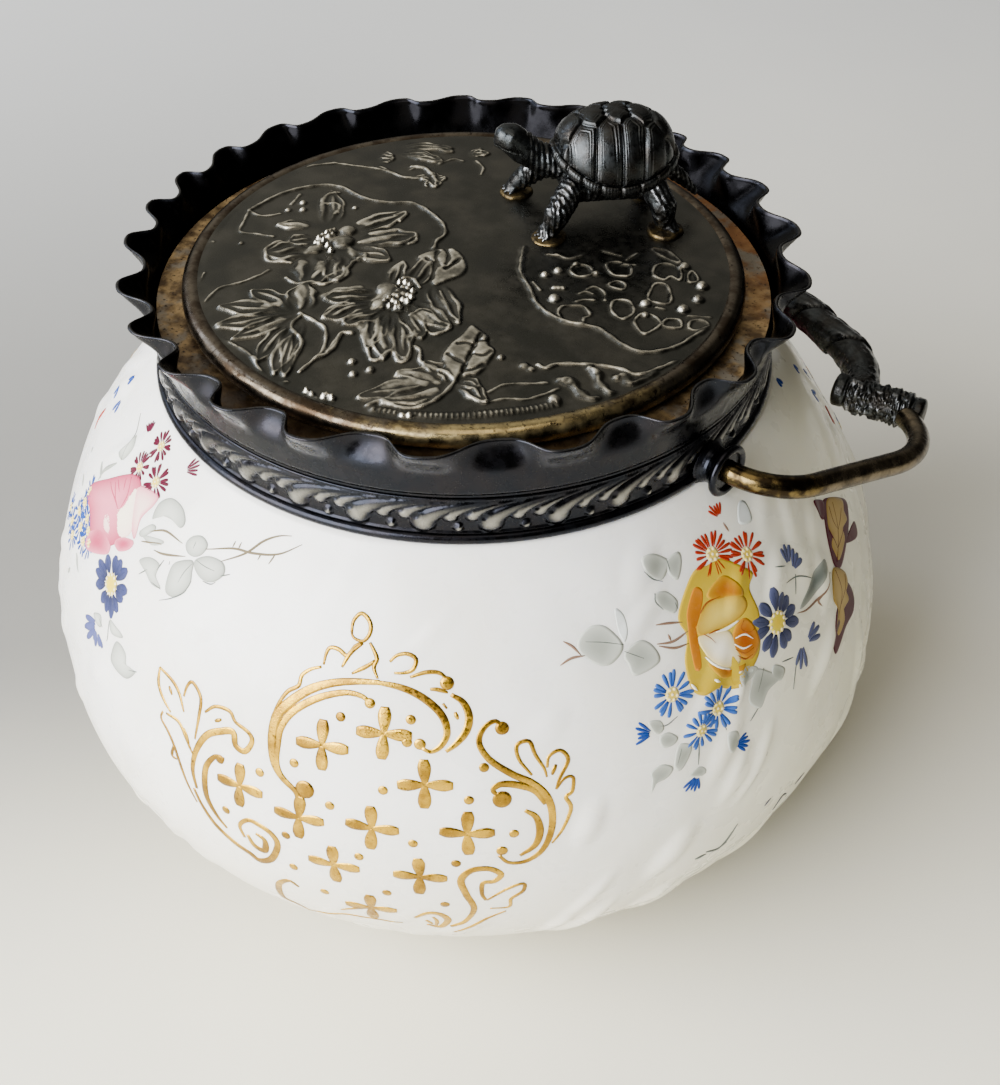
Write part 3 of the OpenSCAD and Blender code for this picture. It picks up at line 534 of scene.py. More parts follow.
def glass_relief(turn, s):
    """Height of the blown relief over the smooth bowl: soft lumps and slanting ridges."""
    place = side_point(turn, s)
    ridges = np.zeros_like(s)
    chance = np.random.default_rng(11)
    for _ in range(RIDGES):
        middle, height = chance.uniform(0, TURN), chance.uniform(6, SIDE_L - 8)
        slant = math.radians(chance.normal(RIDGE_SLANT, SLANT_SPREAD))
        long, wide, high = chance.uniform((6.0, 2.2, 0.5), (13.0, 4.2, 1.0))
        across = wrapped(turn - middle) * side_at(height)[0]
        x = across * math.cos(slant) + (s - height) * math.sin(slant)
        y = (s - height) * math.cos(slant) - across * math.sin(slant)
        shape = np.clip(1 - (x / long) ** 2 - (y / wide) ** 2, 0, 1) ** 1.8
        ridges = np.maximum(ridges, high * shape)
    rough = zone(turn, s, ROUGH_SIDE) + zone(turn, s, ROUGH_SIDE, math.pi)
    calm = np.maximum.reduce([zone(turn, s, CARTOUCHE) * 0.85,
                              zone(turn, s, SMOOTH_FRONT) * 0.6,
                              zone(turn, s, CARTOUCHE, math.pi) * 0.85])
    fade = ramp(s, 2, 14) * (1 - ramp(s, SIDE_L - 9, SIDE_L - 1))
    lumps = 0.4 * cloud(place, 15.0, 3) + 0.1 * cloud(place, 6.0, 4)
    blown = (lumps + ridges * (0.5 + 0.7 * rough)) * (1 - calm)
    return fade * (blown + 0.12 * cloud(place, 9.0, 7))


RELIEF_TURNS = around(GLASS_COLS)
RELIEF_S = np.linspace(0, SIDE_L, GLASS_ROWS)
RELIEF = glass_relief(*np.meshgrid(RELIEF_TURNS, RELIEF_S))


def relief_at(turn, s):
    """Relief of the glass mesh itself, between the points that it was made at."""
    i = np.clip(np.asarray(s) / SIDE_L * (GLASS_ROWS - 1), 0, GLASS_ROWS - 1.001)
    j = (np.asarray(turn) % TURN) / TURN * GLASS_COLS
    i0, j0 = np.floor(i).astype(int), np.floor(j).astype(int) % GLASS_COLS
    fi, fj, j1 = i - i0, j - np.floor(j), (j0 + 1) % GLASS_COLS
    return ((RELIEF[i0, j0] * (1 - fj) + RELIEF[i0, j1] * fj) * (1 - fi)
            + (RELIEF[i0 + 1, j0] * (1 - fj) + RELIEF[i0 + 1, j1] * fj) * fi)


def glass_skin(turn, s, lift):
    return side_point(turn, s, relief_at(turn, s) + lift)


def ring_rows(profile):
    """Plain rings of a turned shape through (radius, height) points."""
    c, s = np.cos(RELIEF_TURNS), np.sin(RELIEF_TURNS)
    return [np.stack([r * c, r * s, z + 0 * c], -1) for r, z in profile]


def make_bowl(material):
    foot_r = SIDE_R[0]
    under = [(r, PUSH_UP) for r in (8, 20, foot_r - FOOT_RING_W - PUSH_UP)]
    under += [(foot_r - FOOT_RING_W, 0.0), (foot_r - FOOT_RING_W / 2, 0.0)]
    outer = side_point(*np.meshgrid(RELIEF_TURNS, RELIEF_S), RELIEF)
    corner = NECK_R + NECK_FILLET
    neck = [(corner - NECK_FILLET * math.sin(a), LEDGE_Z + NECK_FILLET * (1 - math.cos(a)))
            for a in np.linspace(0, math.pi / 2, 5)]
    middle, half = NECK_R - NECK_WALL / 2, NECK_WALL / 2
    rim = [(middle + half * math.cos(a), RIM_Z - half + half * math.sin(a))
           for a in np.linspace(0, math.pi, 13)]
    above = SIDE_Z > BELLY_Z
    throat_z = np.interp(NECK_WALL - NECK_R, -SIDE_R[above], SIDE_Z[above]) - BOWL_WALL
    inner_z = np.linspace(throat_z, FLOOR_T + 3, 60)
    inner = [(radius_at(z) - BOWL_WALL, z) for z in inner_z]
    inner = [(max(r, NECK_R - NECK_WALL) if z > BELLY_Z else r, z) for r, z in inner]
    inner += [(inner[-1][0] - 4, FLOOR_T), (30, FLOOR_T), (10, FLOOR_T)]
    rows = ring_rows(under) + list(outer) + ring_rows(neck + rim + inner)
    ends = [[0, 0, PUSH_UP], [0, 0, FLOOR_T]]
    points = np.vstack([np.vstack(rows), ends])
    make_piece("bowl", points, capped_grid(len(rows), GLASS_COLS), material, "jar",
               replaces=["glass_bowl"])


# ---- Painting on the glass ----

RED, ORANGE, OCHRE, YELLOW, CREAM = "962812", "a4600e", "b58a1a", "cdb232", "f3e9cf"
BLUE, SKY, SLATE, NIGHT = "1a3f8c", "3a62ac", "4c5170", "282c46"
PALE_LEAF, LEAF, DARK_LEAF, TWIG = "bec1b8", "979b92", "5c625d", "7d6352"
PINK, ROSE, BLUSH, MAROON, WINE = "d97d90", "ac405c", "f0d2c8", "4a1022", "52162c"
LEAF_GOLD, SUN, GOLD, DRY_TWIG = "bca062", "dcbc2c", "c89b42", "6b604a"
PAINT_LIFT, PAINT_ROOT = 0.09, -0.06


class Brush:
    """Collects strokes of raised paint on the bowl. Each stroke is a thin closed solid."""

    def __init__(self, turned):
        self.turned = turned
        self.points, self.faces, self.colours = [], [], []
        self.count = 0

    def add(self, turn, s, lift, colour, faces):
        self.points.append(glass_skin(turn + self.turned, s, lift))
        self.colours.append(np.broadcast_to(colour, (len(s), 3)))
        self.faces += [tuple(v + self.count for v in face) for face in faces]
        self.count += len(s)

    def line(self, path, width, colour, tip=None, lift=PAINT_LIFT):
        """A stroke along (turn, s) places. width is its half width along the way, in mm."""
        turn, s = np.unwrap(path[:, 0]), path[:, 1]
        share = np.linspace(0, 1, len(s))
        half = np.maximum(width(share) if callable(width) else width + 0 * share, 0.06)
        r = side_at(s)[0]
        dx, dy = np.gradient(turn) * r, np.gradient(s)
        norm = np.hypot(dx, dy) + 1e-9
        lanes = np.linspace(-1, 1, 3 if half.max() < 0.7 else 5)
        x = np.concatenate([lanes, [1, -1]])
        dome = 0.45 + 0.55 * np.sqrt(1 - lanes ** 2)
        up = np.concatenate([dome * lift, [PAINT_ROOT] * 2])
        rings_turn = turn[:, None] - np.outer(half * dy / norm / r, x)
        rings_s = s[:, None] + np.outer(half * dx / norm, x)
        rings_up = np.broadcast_to(up, rings_s.shape)
        m = len(x)
        faces = [tuple(q) for q in grid_faces(len(s), m)]
        faces += [tuple(range(m - 1, -1, -1)), tuple((len(s) - 1) * m + j for j in range(m))]
        start = linear(colour)
        end = start if tip is None else linear(tip)
        tints = start + share[:, None] * (end - start)
        self.add(rings_turn.ravel(), rings_s.ravel(), rings_up.ravel(),
                 np.repeat(tints, m, axis=0), faces)

    def patch(self, outline, colour, rim=None, lift=PAINT_LIFT):
        """A filled shape that goes from colour to rim outwards."""
        middle = outline.mean(0)
        r = side_at(middle[1])[0]
        flat = (outline - middle) * [r, 1]
        flat = through(flat, 0.7, closed=True)
        reach = np.hypot(*flat.T).max()
        shares = np.linspace(0, 1, max(3, int(reach / 0.7) + 2))[1:]
        k, n = len(flat), len(shares)
        x = np.concatenate([[[0, 0]]] + [flat * f for f in shares] + [flat, [[0, 0]]])
        f = np.concatenate([[0], np.repeat(shares, k), np.ones(k), [0]])
        up = lift * (0.5 + 0.5 * np.sqrt(1 - np.minimum(f, 1) ** 4))
        up[1 + n * k:] = PAINT_ROOT
        inner = linear(colour)
        outer = inner if rim is None else linear(rim)
        tints = inner + (f ** 2)[:, None] * (outer - inner)
        faces = [(0, 1 + j, 1 + (j + 1) % k) for j in range(k)]
        faces += [tuple(1 + v for v in q) for q in grid_faces(n + 1, k)]
        low = 1 + n * k
        faces += [(low + (j + 1) % k, low + j, low + k) for j in range(k)]
        self.add(middle[0] + x[:, 0] / r, middle[1] + x[:, 1], up, tints, faces)

    def dot(self, place, radius, colour, rim=None, lift=PAINT_LIFT):
        ring = np.array([beside(place, radius * np.cos(a), radius * np.sin(a))
                         for a in around(8)])
        self.patch(ring, colour, rim, lift=lift)

    def build(self, name, material):
        face_outwards(make_piece(name, np.vstack(self.points), self.faces, material, "jar",
                                 colours=np.vstack(self.colours)))


def face_outwards(piece):
    """Turns the faces of each closed part of a piece so that they look outwards."""
    work = bmesh.new()
    work.from_mesh(piece.data)
    bmesh.ops.recalc_face_normals(work, faces=work.faces)
    work.to_mesh(piece.data)
    work.free()


def beside(place, x, y):
    """The (turn, s) place that is x mm to the right of and y mm above another one."""
    return np.array([place[0] + x / side_at(place[1])[0], place[1] + y])


def spoke(place, angle, start, end, count):
    """Line that leaves a place at an angle, from start to end millimetres away."""
    return np.array([beside(place, q * math.cos(angle), q * math.sin(angle))
                     for q in np.linspace(start, end, count)])


def route(pixels, step=0.6):
    """Smooth line on the bowl through places that pixels show."""
    places = on_bowl(pixels)
    r = side_at(places[:, 1].mean())[0]
    line = through(places * [r, 1], step)
    return line / [r, 1]


def swell(half, start=0.35, end=0.25, peak=0.5):
    """Half width of a stroke that is widest at its peak."""
    def width(t):
        rise = np.where(t < peak, t / peak, (1 - t) / (1 - peak))
        low = np.where(t < peak, start, end)
        return half * (low + (1 - low) * np.sin(rise * math.pi / 2))
    return width


def trace(brush, strokes, colour, half, lift):
    """Fine strokes, each a list of pixels."""
    for pixels in strokes:
        brush.line(route(pixels), swell(half), colour, lift=lift)


def aster(brush, pixel, reach, petals, colour, tip):
    """A flower of many thin strokes round a yellow heart."""
    place = on_bowl([pixel])[0]
    half = (0.09 * reach + 0.06) * min(1, 16 / petals)
    for i in range(petals):
        a = TURN * i / petals + 0.13 * RANDOM.normal()
        far = reach * RANDOM.uniform(0.86, 1.08)
        brush.line(spoke(place, a, 0.34 * reach, far, 8), swell(half, 0.3, 0.6, 0.75),
                   colour, tip)
    brush.dot(place, 0.32 * reach, SUN, "d8cf8c", lift=0.12)
    for i in range(7):
        a = TURN * i / 6.5
        far = 0.24 * reach * (i > 0)
        brush.dot(spoke(place, a, far, far, 1)[0], 0.09 * reach, CREAM, SUN, lift=0.2)


def daisy(brush, pixel, reach, petals, colour, dark):
    """A flower of broad petals round a large yellow heart."""
    place = on_bowl([pixel])[0]
    for i in range(petals):
        a = TURN * i / petals + 0.1 * RANDOM.normal()
        far = reach * RANDOM.uniform(0.9, 1.1)
        path = spoke(place, a, 0.36 * reach, far, 10)
        brush.line(path, swell(0.19 * reach, 0.25, 0.35, 0.62), dark, colour)
        brush.line(path[2:-2], 0.07, dark, lift=0.13)
    brush.dot(place, 0.33 * reach, SUN, "cfc84a", lift=0.14)
    for a in around(10):
        brush.dot(spoke(place, a, 0.3 * reach, 0.3 * reach, 1)[0], 0.07 * reach, CREAM, SUN,
                  lift=0.2)


def bud(brush, foot, tip, strokes, colour, spread=0.5, half=0.28):
    """A half-open flower: strokes that fan out from foot towards tip, both pixels."""
    a0, a1 = on_bowl([foot, tip])
    x, y = (a1 - a0) * [side_at(a0[1])[0], 1]
    aim, reach = math.atan2(y, x), math.hypot(y, x)
    for i in range(strokes):
        a = aim + spread * (2 * i / max(1, strokes - 1) - 1)
        far = reach * RANDOM.uniform(0.85, 1.1)
        brush.line(spoke(a0, a, 0.25 * reach, far, 7), swell(half, 0.3, 0.5, 0.7), colour)


def leaves(brush, shapes, colour, rim):
    """Leaves, with the outline and the veins of each given as pixels."""
    for outline, *veins in shapes:
        brush.patch(on_bowl(outline), colour, rim, lift=0.07)
        trace(brush, veins, DARK_LEAF, 0.13, 0.11)


# Positions on the picture, in pixels. Reaches and radii are in millimetres, and the colours of
# a lobe or a leaf are those of its middle and its rim.
RED_ASTERS = [(713, 554), (746, 554)]
RED_BUD = ((721, 518), (712, 503))
BLUE_ASTERS = [((672, 694), 4.4), ((718, 708), 4.5), ((701, 730), 3.9)]
BLUE_BUDS = [((654, 733), (635, 734)), ((734, 744), (748, 740)), ((698, 773), (689, 792))]
SLATE_DAISY = (776, 622)
SLATE_BUDS = [((791, 572), (796, 552)), ((802, 641), (801, 669)), ((805, 643), (818, 626)),
    ((788, 568), (782, 543))]
ROSE_LOBES = [([(694, 571), (683, 595), (678, 619), (687, 636), (685, 662), (691, 688), (702, 695),
    (717, 688), (733, 688), (748, 675), (759, 653), (759, 627), (757, 610), (748, 588), (752, 573),
    (741, 566), (722, 558), (707, 565)], YELLOW, "b89a20"), ([(694, 588), (702, 588), (703, 601),
    (696, 619), (693, 636), (700, 653), (702, 669), (696, 671), (691, 649), (688, 627),
    (687, 610)], ORANGE, "c07818"), ([(707, 596), (713, 584), (724, 575), (735, 582), (742, 594),
    (728, 597), (716, 600)], ORANGE, OCHRE), ([(700, 614), (707, 603), (722, 595), (741, 595),
    (746, 606), (737, 619), (718, 630), (700, 636), (696, 627)], "dcc258", OCHRE), ([(698, 638),
    (711, 632), (728, 630), (735, 640), (741, 660), (728, 668), (713, 662), (704, 651)], "f5efdc",
    "e0cb86"), ([(741, 618), (750, 621), (759, 640), (752, 658), (741, 656), (733, 649),
    (733, 632)], "a04e10", "c0841c"), ([(709, 664), (727, 671), (745, 663), (738, 673),
    (722, 678)], ORANGE, OCHRE)]
ROSE_LINES = [[(704, 634), (711, 638), (716, 643)], [(709, 634), (716, 630), (720, 630)],
    [(743, 620), (740, 628), (748, 632), (753, 628)], [(735, 649), (745, 653), (753, 647)],
    [(737, 655), (745, 659), (752, 654)], [(700, 613), (707, 603), (720, 596)]]
ROSE_LIGHTS = [[(735, 638), (744, 634), (752, 638)], [(734, 644), (743, 648), (751, 644)],
    [(706, 657), (717, 666), (731, 669)], [(738, 620), (728, 628), (716, 632)], [(691, 684),
    (697, 690)], [(713, 679), (719, 681)], [(733, 675), (740, 670)]]
RIGHT_LEAVES = [[[(577, 641), (589, 626), (606, 626), (623, 645), (614, 662), (600, 665),
    (581, 654)], [(585, 641), (603, 642), (623, 644)]], [[(624, 653), (640, 640), (654, 646),
    (660, 662), (636, 676), (629, 665)], [(624, 651), (635, 655), (644, 658)]], [[(640, 558),
    (652, 553), (669, 560), (667, 572), (661, 580), (648, 575), (642, 568)], [(642, 571),
    (651, 578), (662, 581)]], [[(666, 560), (678, 551), (682, 560), (678, 579), (669, 574)],
    [(667, 560), (670, 571)]], [[(654, 594), (666, 591), (678, 601), (675, 613), (660, 607)],
    [(654, 593), (655, 602), (663, 609)], [(675, 602), (678, 609)]], [[(721, 602), (731, 598),
    (734, 614), (723, 619)]], [[(757, 669), (772, 672), (781, 677), (768, 690), (760, 708),
    (749, 702), (751, 686)], [(764, 668), (760, 684), (758, 692)]], [[(731, 665), (748, 665),
    (758, 668), (748, 681), (739, 684)]], [[(774, 665), (785, 668), (781, 680), (772, 678)]],
    [[(648, 722), (660, 720), (664, 729), (656, 734)], [(677, 716), (667, 725), (660, 726)]],
    [[(659, 737), (668, 732), (678, 737), (673, 745), (662, 747)]], [[(678, 745), (689, 743),
    (691, 751), (681, 769), (674, 767)], [(681, 748), (677, 764)]], [[(651, 772), (662, 764),
    (673, 767), (667, 777), (656, 784), (651, 793), (652, 780)]], [[(689, 775), (699, 766),
    (706, 769), (702, 775)]], [[(725, 733), (734, 729), (738, 737), (733, 751), (726, 748)],
    [(722, 717), (725, 729)]]]
PALE_LEAVES = [[[(614, 608), (623, 614), (627, 630), (624, 642), (618, 630)]], [[(738, 503),
    (745, 501), (752, 520), (739, 523)]]]
DARK_LEAVES = [[[(821, 559), (824, 568), (814, 595), (800, 609), (808, 587), (814, 568)]]]
RIGHT_TWIGS = [[(560, 665), (571, 658), (585, 655)], [(563, 641), (572, 646), (581, 655)],
    [(656, 625), (667, 623), (683, 622)], [(657, 644), (673, 641), (689, 630)], [(659, 646),
    (675, 648), (689, 643)], [(668, 634), (671, 641)], [(829, 572), (821, 593), (808, 609),
    (797, 613)], [(821, 593), (818, 601), (821, 606)], [(723, 522), (729, 531)]]
RIGHT_STEMS = [[(772, 567), (782, 566)], [(794, 574), (795, 594)], [(784, 583), (796, 576),
    (812, 578)], [(699, 743), (698, 764)], [(758, 708), (750, 721)], [(782, 662), (793, 657)],
    [(793, 689), (796, 665), (800, 651)]]
LOWER_SPRIG = [[(706, 852), (721, 847), (738, 824)], [(695, 859), (706, 854)], [(721, 847),
    (727, 842)]]
DARK_CHIPS = [[(766, 807), (772, 799)], [(774, 811), (784, 797), (788, 795)], [(796, 785),
    (805, 773)]]
WINE_LEAVES = [([(824, 499), (845, 499), (849, 517), (847, 540), (841, 566), (834, 566),
    (829, 548), (825, 524)], MAROON, MAROON), ([(828, 499), (842, 499), (844, 510), (847, 519),
    (843, 528), (845, 540), (839, 560), (835, 555), (831, 545), (832, 536), (828, 524)], LEAF_GOLD,
    "a08444"), ([(832, 569), (844, 571), (848, 582), (846, 590), (849, 599), (843, 610),
    (844, 620), (837, 636), (834, 622), (836, 610), (832, 598)], LEAF_GOLD, "a08444"),
    ([(847, 582), (854, 593), (854, 610), (845, 628), (835, 654), (830, 632), (834, 610),
    (842, 598)], MAROON, "4a1424"), ([(848, 534), (854, 521), (857, 536), (846, 543)], MAROON,
    MAROON), ([(811, 501), (824, 501), (824, 519), (817, 514)], MAROON, MAROON)]
WINE_VEINS = [[(833, 502), (838, 530), (836, 562)], [(829, 506), (833, 520), (837, 528)],
    [(841, 508), (840, 520), (838, 530)], [(829, 530), (834, 540), (837, 548)], [(843, 530),
    (840, 541), (837, 548)], [(834, 570), (841, 592), (836, 618)], [(844, 574), (845, 588),
    (840, 604)]]
UPPER_RIGHT_PETALS = [(782, 385), (809, 377), (817, 398), (799, 372)]
WINE_ASTERS = [((162, 446), 3.3), ((140, 467), 3.2), ((157, 482), 3.6)]
WINE_BUDS = [((149, 435), (152, 421)), ((184, 471), (200, 465))]
PINK_LOBES = [([(91, 486), (111, 478), (132, 474), (142, 482), (140, 511), (117, 543), (93, 543),
    (90, 511)], PINK, ROSE), ([(138, 486), (158, 494), (156, 504), (142, 519), (134, 539),
    (132, 511)], BLUSH, PINK), ([(87, 535), (101, 523), (111, 535), (109, 553), (95, 553),
    (85, 547)], ROSE, PINK), ([(115, 541), (123, 537), (134, 541), (130, 549), (119, 551)], ROSE,
    PINK), ([(113, 507), (123, 502), (138, 484), (140, 494), (135, 523), (128, 536), (117, 537),
    (114, 523)], "f5ead2", BLUSH), ([(102, 507), (111, 502), (115, 523), (111, 539), (102, 531)],
    BLUSH, PINK)]
PINK_LINES = [[(112, 482), (114, 494), (120, 511)], [(132, 477), (128, 494), (121, 511)],
    [(119, 480), (120, 492)], [(127, 478), (124, 490)], [(117, 482), (116, 502)]]
BLUE_CLUSTER = [(91, 491), (87, 502), (81, 511), (87, 519), (81, 527), (88, 531), (74, 521),
    (83, 541), (72, 507), (89, 543), (74, 535)]
LEFT_DAISY = (111, 584)
LEFT_SPRIG = [((98, 623), (85, 621)), ((98, 627), (86, 632)), ((97, 628), (94, 643)), ((98, 629),
    (101, 649))]
LEFT_LEAVES = [[[(153, 519), (160, 503), (172, 498), (183, 507), (186, 521), (181, 528),
    (172, 519), (160, 515)]], [[(186, 543), (193, 536), (203, 536), (208, 545), (203, 554),
    (194, 557), (188, 552)], [(197, 541), (194, 548)]], [[(193, 560), (176, 562), (169, 574),
    (166, 592), (177, 597), (190, 586), (193, 572)], [(192, 564), (185, 572), (179, 582)],
    [(192, 581), (185, 592), (172, 598), (160, 600)]], [[(195, 560), (209, 556), (224, 562),
    (225, 574), (214, 582), (203, 580), (196, 570)], [(197, 560), (205, 566), (215, 571)],
    [(203, 581), (211, 584), (216, 582)], [(221, 576), (231, 574)]], [[(140, 560), (150, 557),
    (160, 564), (156, 576), (161, 588), (152, 584), (146, 572)], [(139, 574), (148, 569)],
    [(157, 570), (164, 560)], [(152, 582), (161, 589)]], [[(140, 531), (152, 524), (156, 529),
    (142, 537)]], [[(143, 535), (160, 539), (164, 543), (152, 545)]], [[(120, 453), (130, 443),
    (137, 435), (135, 447), (123, 460)], [(141, 413), (135, 435), (121, 460)]], [[(111, 619),
    (121, 631), (123, 638), (113, 633)], [(110, 621), (109, 635), (107, 641)]], [[(117, 641),
    (126, 653), (127, 666), (136, 672), (126, 678), (111, 660)], [(129, 670), (137, 672)]],
    [[(93, 613), (100, 615), (101, 627), (96, 623)], [(99, 618), (103, 627)]]]
LEFT_TWIGS = [[(206, 549), (234, 548), (254, 553), (279, 554), (303, 544)], [(222, 561),
    (246, 553), (264, 541), (279, 536), (292, 536)], [(154, 550), (164, 554), (186, 556)],
    [(150, 531), (166, 531), (183, 543)], [(142, 541), (160, 543), (161, 545)]]
LEFT_THORNS = [[(236, 541), (233, 547)], [(242, 542), (239, 549)], [(276, 554), (269, 564)],
    [(262, 553), (258, 560)], [(170, 561), (169, 565)]]
LEFT_SHADOWS = [[(117, 463), (105, 470), (99, 480)], [(103, 462), (101, 478)], [(84, 474),
    (83, 486)], [(77, 553), (79, 572)], [(71, 568), (69, 572)], [(93, 447), (92, 452)]]
RED_MARK = [[(106, 409), (99, 419), (95, 429)]]
CROSS_ARM = 5.1
CROSSES = [(322, 745), (384, 733), (425, 784), (240, 785), (299, 817), (372, 828), (467, 833),
    (334, 864), (420, 877), (371, 907)]
GOLD_DOTS = [(341, 716), (411, 719), (407, 742), (294, 763), (260, 772), (383, 790), (330, 805),
    (469, 799), (484, 767), (226, 810), (286, 835), (359, 856), (413, 843), (456, 863), (514, 833),
    (294, 866), (325, 891), (387, 892), (445, 904)]
MAIN_SCROLL = [(380, 682), (357, 681), (334, 682), (311, 689), (291, 701), (277, 716), (272, 739),
    (274, 762), (283, 778), (296, 792), (299, 805)]
SCROLL_BLOBS = [((305, 789), 1.9), ((370, 703), 1.0), ((420, 744), 1.1), ((502, 728), 1.3),
    ((502, 799), 1.8), ((502, 850), 1.1), ((447, 683), 1.3), ((220, 759), 1.0)]
BROAD_SCROLLS = [[(370, 705), (364, 697), (348, 692), (328, 695), (308, 702), (291, 713),
    (281, 728), (278, 745), (277, 762), (283, 778)], [(371, 681), (397, 686), (417, 694),
    (434, 706), (444, 719), (447, 733), (441, 746), (431, 751), (422, 748)], [(451, 694),
    (463, 702), (469, 716), (466, 731), (456, 744), (446, 751)], [(506, 732), (496, 721),
    (484, 728), (479, 742), (489, 759), (512, 774), (532, 783), (546, 795), (552, 811), (551, 831),
    (542, 850), (526, 861), (509, 862), (499, 855)], [(497, 795), (493, 789), (502, 784),
    (520, 785), (535, 791), (545, 804)], [(525, 810), (536, 817), (540, 831), (535, 845),
    (520, 855)], [(197, 788), (193, 768), (197, 749), (207, 735), (220, 731), (233, 732),
    (236, 745), (245, 751), (252, 742), (249, 733), (236, 722)], [(225, 759), (216, 756),
    (207, 765), (205, 779), (207, 797), (216, 814), (227, 828)], [(245, 837), (240, 825),
    (248, 820), (260, 825), (272, 834), (278, 845), (272, 858), (260, 860), (250, 853), (236, 843),
    (216, 825), (202, 805), (194, 788)], [(248, 834), (255, 845), (265, 850), (265, 840),
    (256, 833)], [(451, 925), (466, 920), (474, 908), (466, 894), (461, 880), (471, 870),
    (489, 868), (501, 874), (494, 881), (483, 883), (482, 894), (486, 900)], [(299, 886),
    (289, 880), (279, 884), (284, 896), (299, 903), (311, 909)], [(415, 917), (427, 913),
    (440, 914), (448, 920), (440, 926), (427, 924)]]
FINE_SCROLLS = [[(352, 632), (354, 620), (362, 613), (370, 621), (370, 633), (363, 641),
    (354, 637), (352, 632)], [(362, 642), (355, 646), (348, 655), (339, 649), (331, 647),
    (327, 652), (324, 664)], [(363, 643), (351, 652), (342, 667)], [(370, 642), (374, 650),
    (377, 659), (374, 667), (378, 678)], [(375, 660), (368, 665), (352, 673)], [(322, 666),
    (311, 669), (302, 675), (299, 685), (288, 691), (279, 703), (272, 717)], [(390, 661),
    (397, 655), (408, 653), (416, 659), (413, 669), (403, 673), (394, 673)], [(410, 677),
    (426, 672), (440, 673), (450, 682)], [(430, 689), (438, 689), (448, 692)], [(443, 703),
    (447, 708)], [(455, 712), (458, 719)], [(532, 775), (519, 759), (517, 745), (529, 741),
    (535, 754), (544, 768), (547, 777)], [(547, 767), (549, 756), (560, 750), (568, 759),
    (560, 777), (556, 789)], [(556, 789), (565, 778), (573, 777), (572, 791), (566, 797),
    (571, 808), (563, 828), (552, 843)], [(556, 764), (552, 775)], [(160, 667), (159, 685),
    (164, 700), (171, 712)], [(160, 667), (172, 680), (179, 693), (184, 712)], [(184, 696),
    (187, 686), (193, 682), (201, 697), (199, 716), (195, 739)], [(205, 712), (216, 706),
    (230, 711), (236, 722), (249, 733)], [(163, 711), (161, 718), (168, 731), (174, 745),
    (179, 759), (187, 782), (197, 802)], [(166, 713), (179, 722), (187, 739), (193, 754)],
    [(169, 686), (172, 695)], [(184, 728), (187, 736), (190, 748)], [(215, 721), (222, 719)],
    [(174, 745), (172, 755), (177, 759)], [(311, 909), (334, 911), (368, 917), (403, 922)],
    [(342, 908), (368, 907), (397, 909)], [(433, 917), (437, 921), (436, 926)], [(426, 920),
    (433, 924)], [(487, 900), (506, 889), (523, 883), (523, 890), (511, 898), (509, 906),
    (490, 908)], [(454, 929), (471, 924), (489, 917), (506, 910)]]


def yellow_rose(brush):
    for i, (outline, colour, rim) in enumerate(ROSE_LOBES):
        brush.patch(on_bowl(outline), colour, rim, lift=0.08 + 0.05 * min(i, 2))
    trace(brush, ROSE_LINES, "8a4a1e", 0.18, 0.24)
    trace(brush, ROSE_LIGHTS, "f8f4e6", 0.3, 0.26)


def right_spray(brush):
    leaves(brush, PALE_LEAVES, "d3d7d5", "c6cbc8")
    leaves(brush, RIGHT_LEAVES, LEAF, PALE_LEAF)
    leaves(brush, DARK_LEAVES, DARK_LEAF, LEAF)
    trace(brush, RIGHT_TWIGS, TWIG, 0.26, 0.1)
    trace(brush, RIGHT_STEMS, DARK_LEAF, 0.16, 0.1)
    for outline, colour, rim in WINE_LEAVES:
        brush.patch(on_bowl(outline), colour, rim, lift=0.1 + 0.07 * (colour == LEAF_GOLD))
    trace(brush, WINE_VEINS, MAROON, 0.3, 0.21)
    yellow_rose(brush)
    for pixel in RED_ASTERS:
        aster(brush, pixel, 4.4, 22, RED, RED)
    bud(brush, *RED_BUD, 5, RED, 0.6)
    daisy(brush, SLATE_DAISY, 6.4, 12, SLATE, NIGHT)
    for foot, tip in SLATE_BUDS:
        bud(brush, foot, tip, 3, SLATE, 0.35, 0.6)
    for pixel, reach in BLUE_ASTERS:
        aster(brush, pixel, reach, 17, BLUE, SKY)
    for foot, tip in BLUE_BUDS:
        bud(brush, foot, tip, 5, BLUE, 0.55, 0.34)
    trace(brush, LOWER_SPRIG, DARK_LEAF, 0.5, 0.1)
    trace(brush, DARK_CHIPS, NIGHT, 0.45, 0.1)
    for pixel in UPPER_RIGHT_PETALS:
        bud(brush, (pixel[0] - 8, pixel[1] - 8), pixel, 2, BLUE, 0.3, 0.6)


def pink_rose(brush):
    for outline, colour, rim in PINK_LOBES:
        brush.patch(on_bowl(outline), colour, rim, lift=0.12)
    trace(brush, PINK_LINES, ROSE, 0.35, 0.17)


def left_spray(brush):
    leaves(brush, LEFT_LEAVES, PALE_LEAF, LEAF)
    trace(brush, LEFT_TWIGS, DRY_TWIG, 0.24, 0.1)
    trace(brush, LEFT_THORNS, DRY_TWIG, 0.16, 0.1)
    trace(brush, LEFT_SHADOWS, LEAF, 0.5, 0.08)
    pink_rose(brush)
    for pixel, reach in WINE_ASTERS:
        aster(brush, pixel, reach, 17, WINE, MAROON)
    for foot, tip in WINE_BUDS:
        bud(brush, foot, tip, 5, WINE, 0.5)
    for pixel in BLUE_CLUSTER:
        aster(brush, pixel, 3.2, 10, "163a80", BLUE)
    daisy(brush, LEFT_DAISY, 6.3, 13, "3a406a", NIGHT)
    for foot, tip in LEFT_SPRIG:
        bud(brush, foot, tip, 2, "4a5080", 0.15, 0.75)
    trace(brush, RED_MARK, RED, 0.8, 0.1)


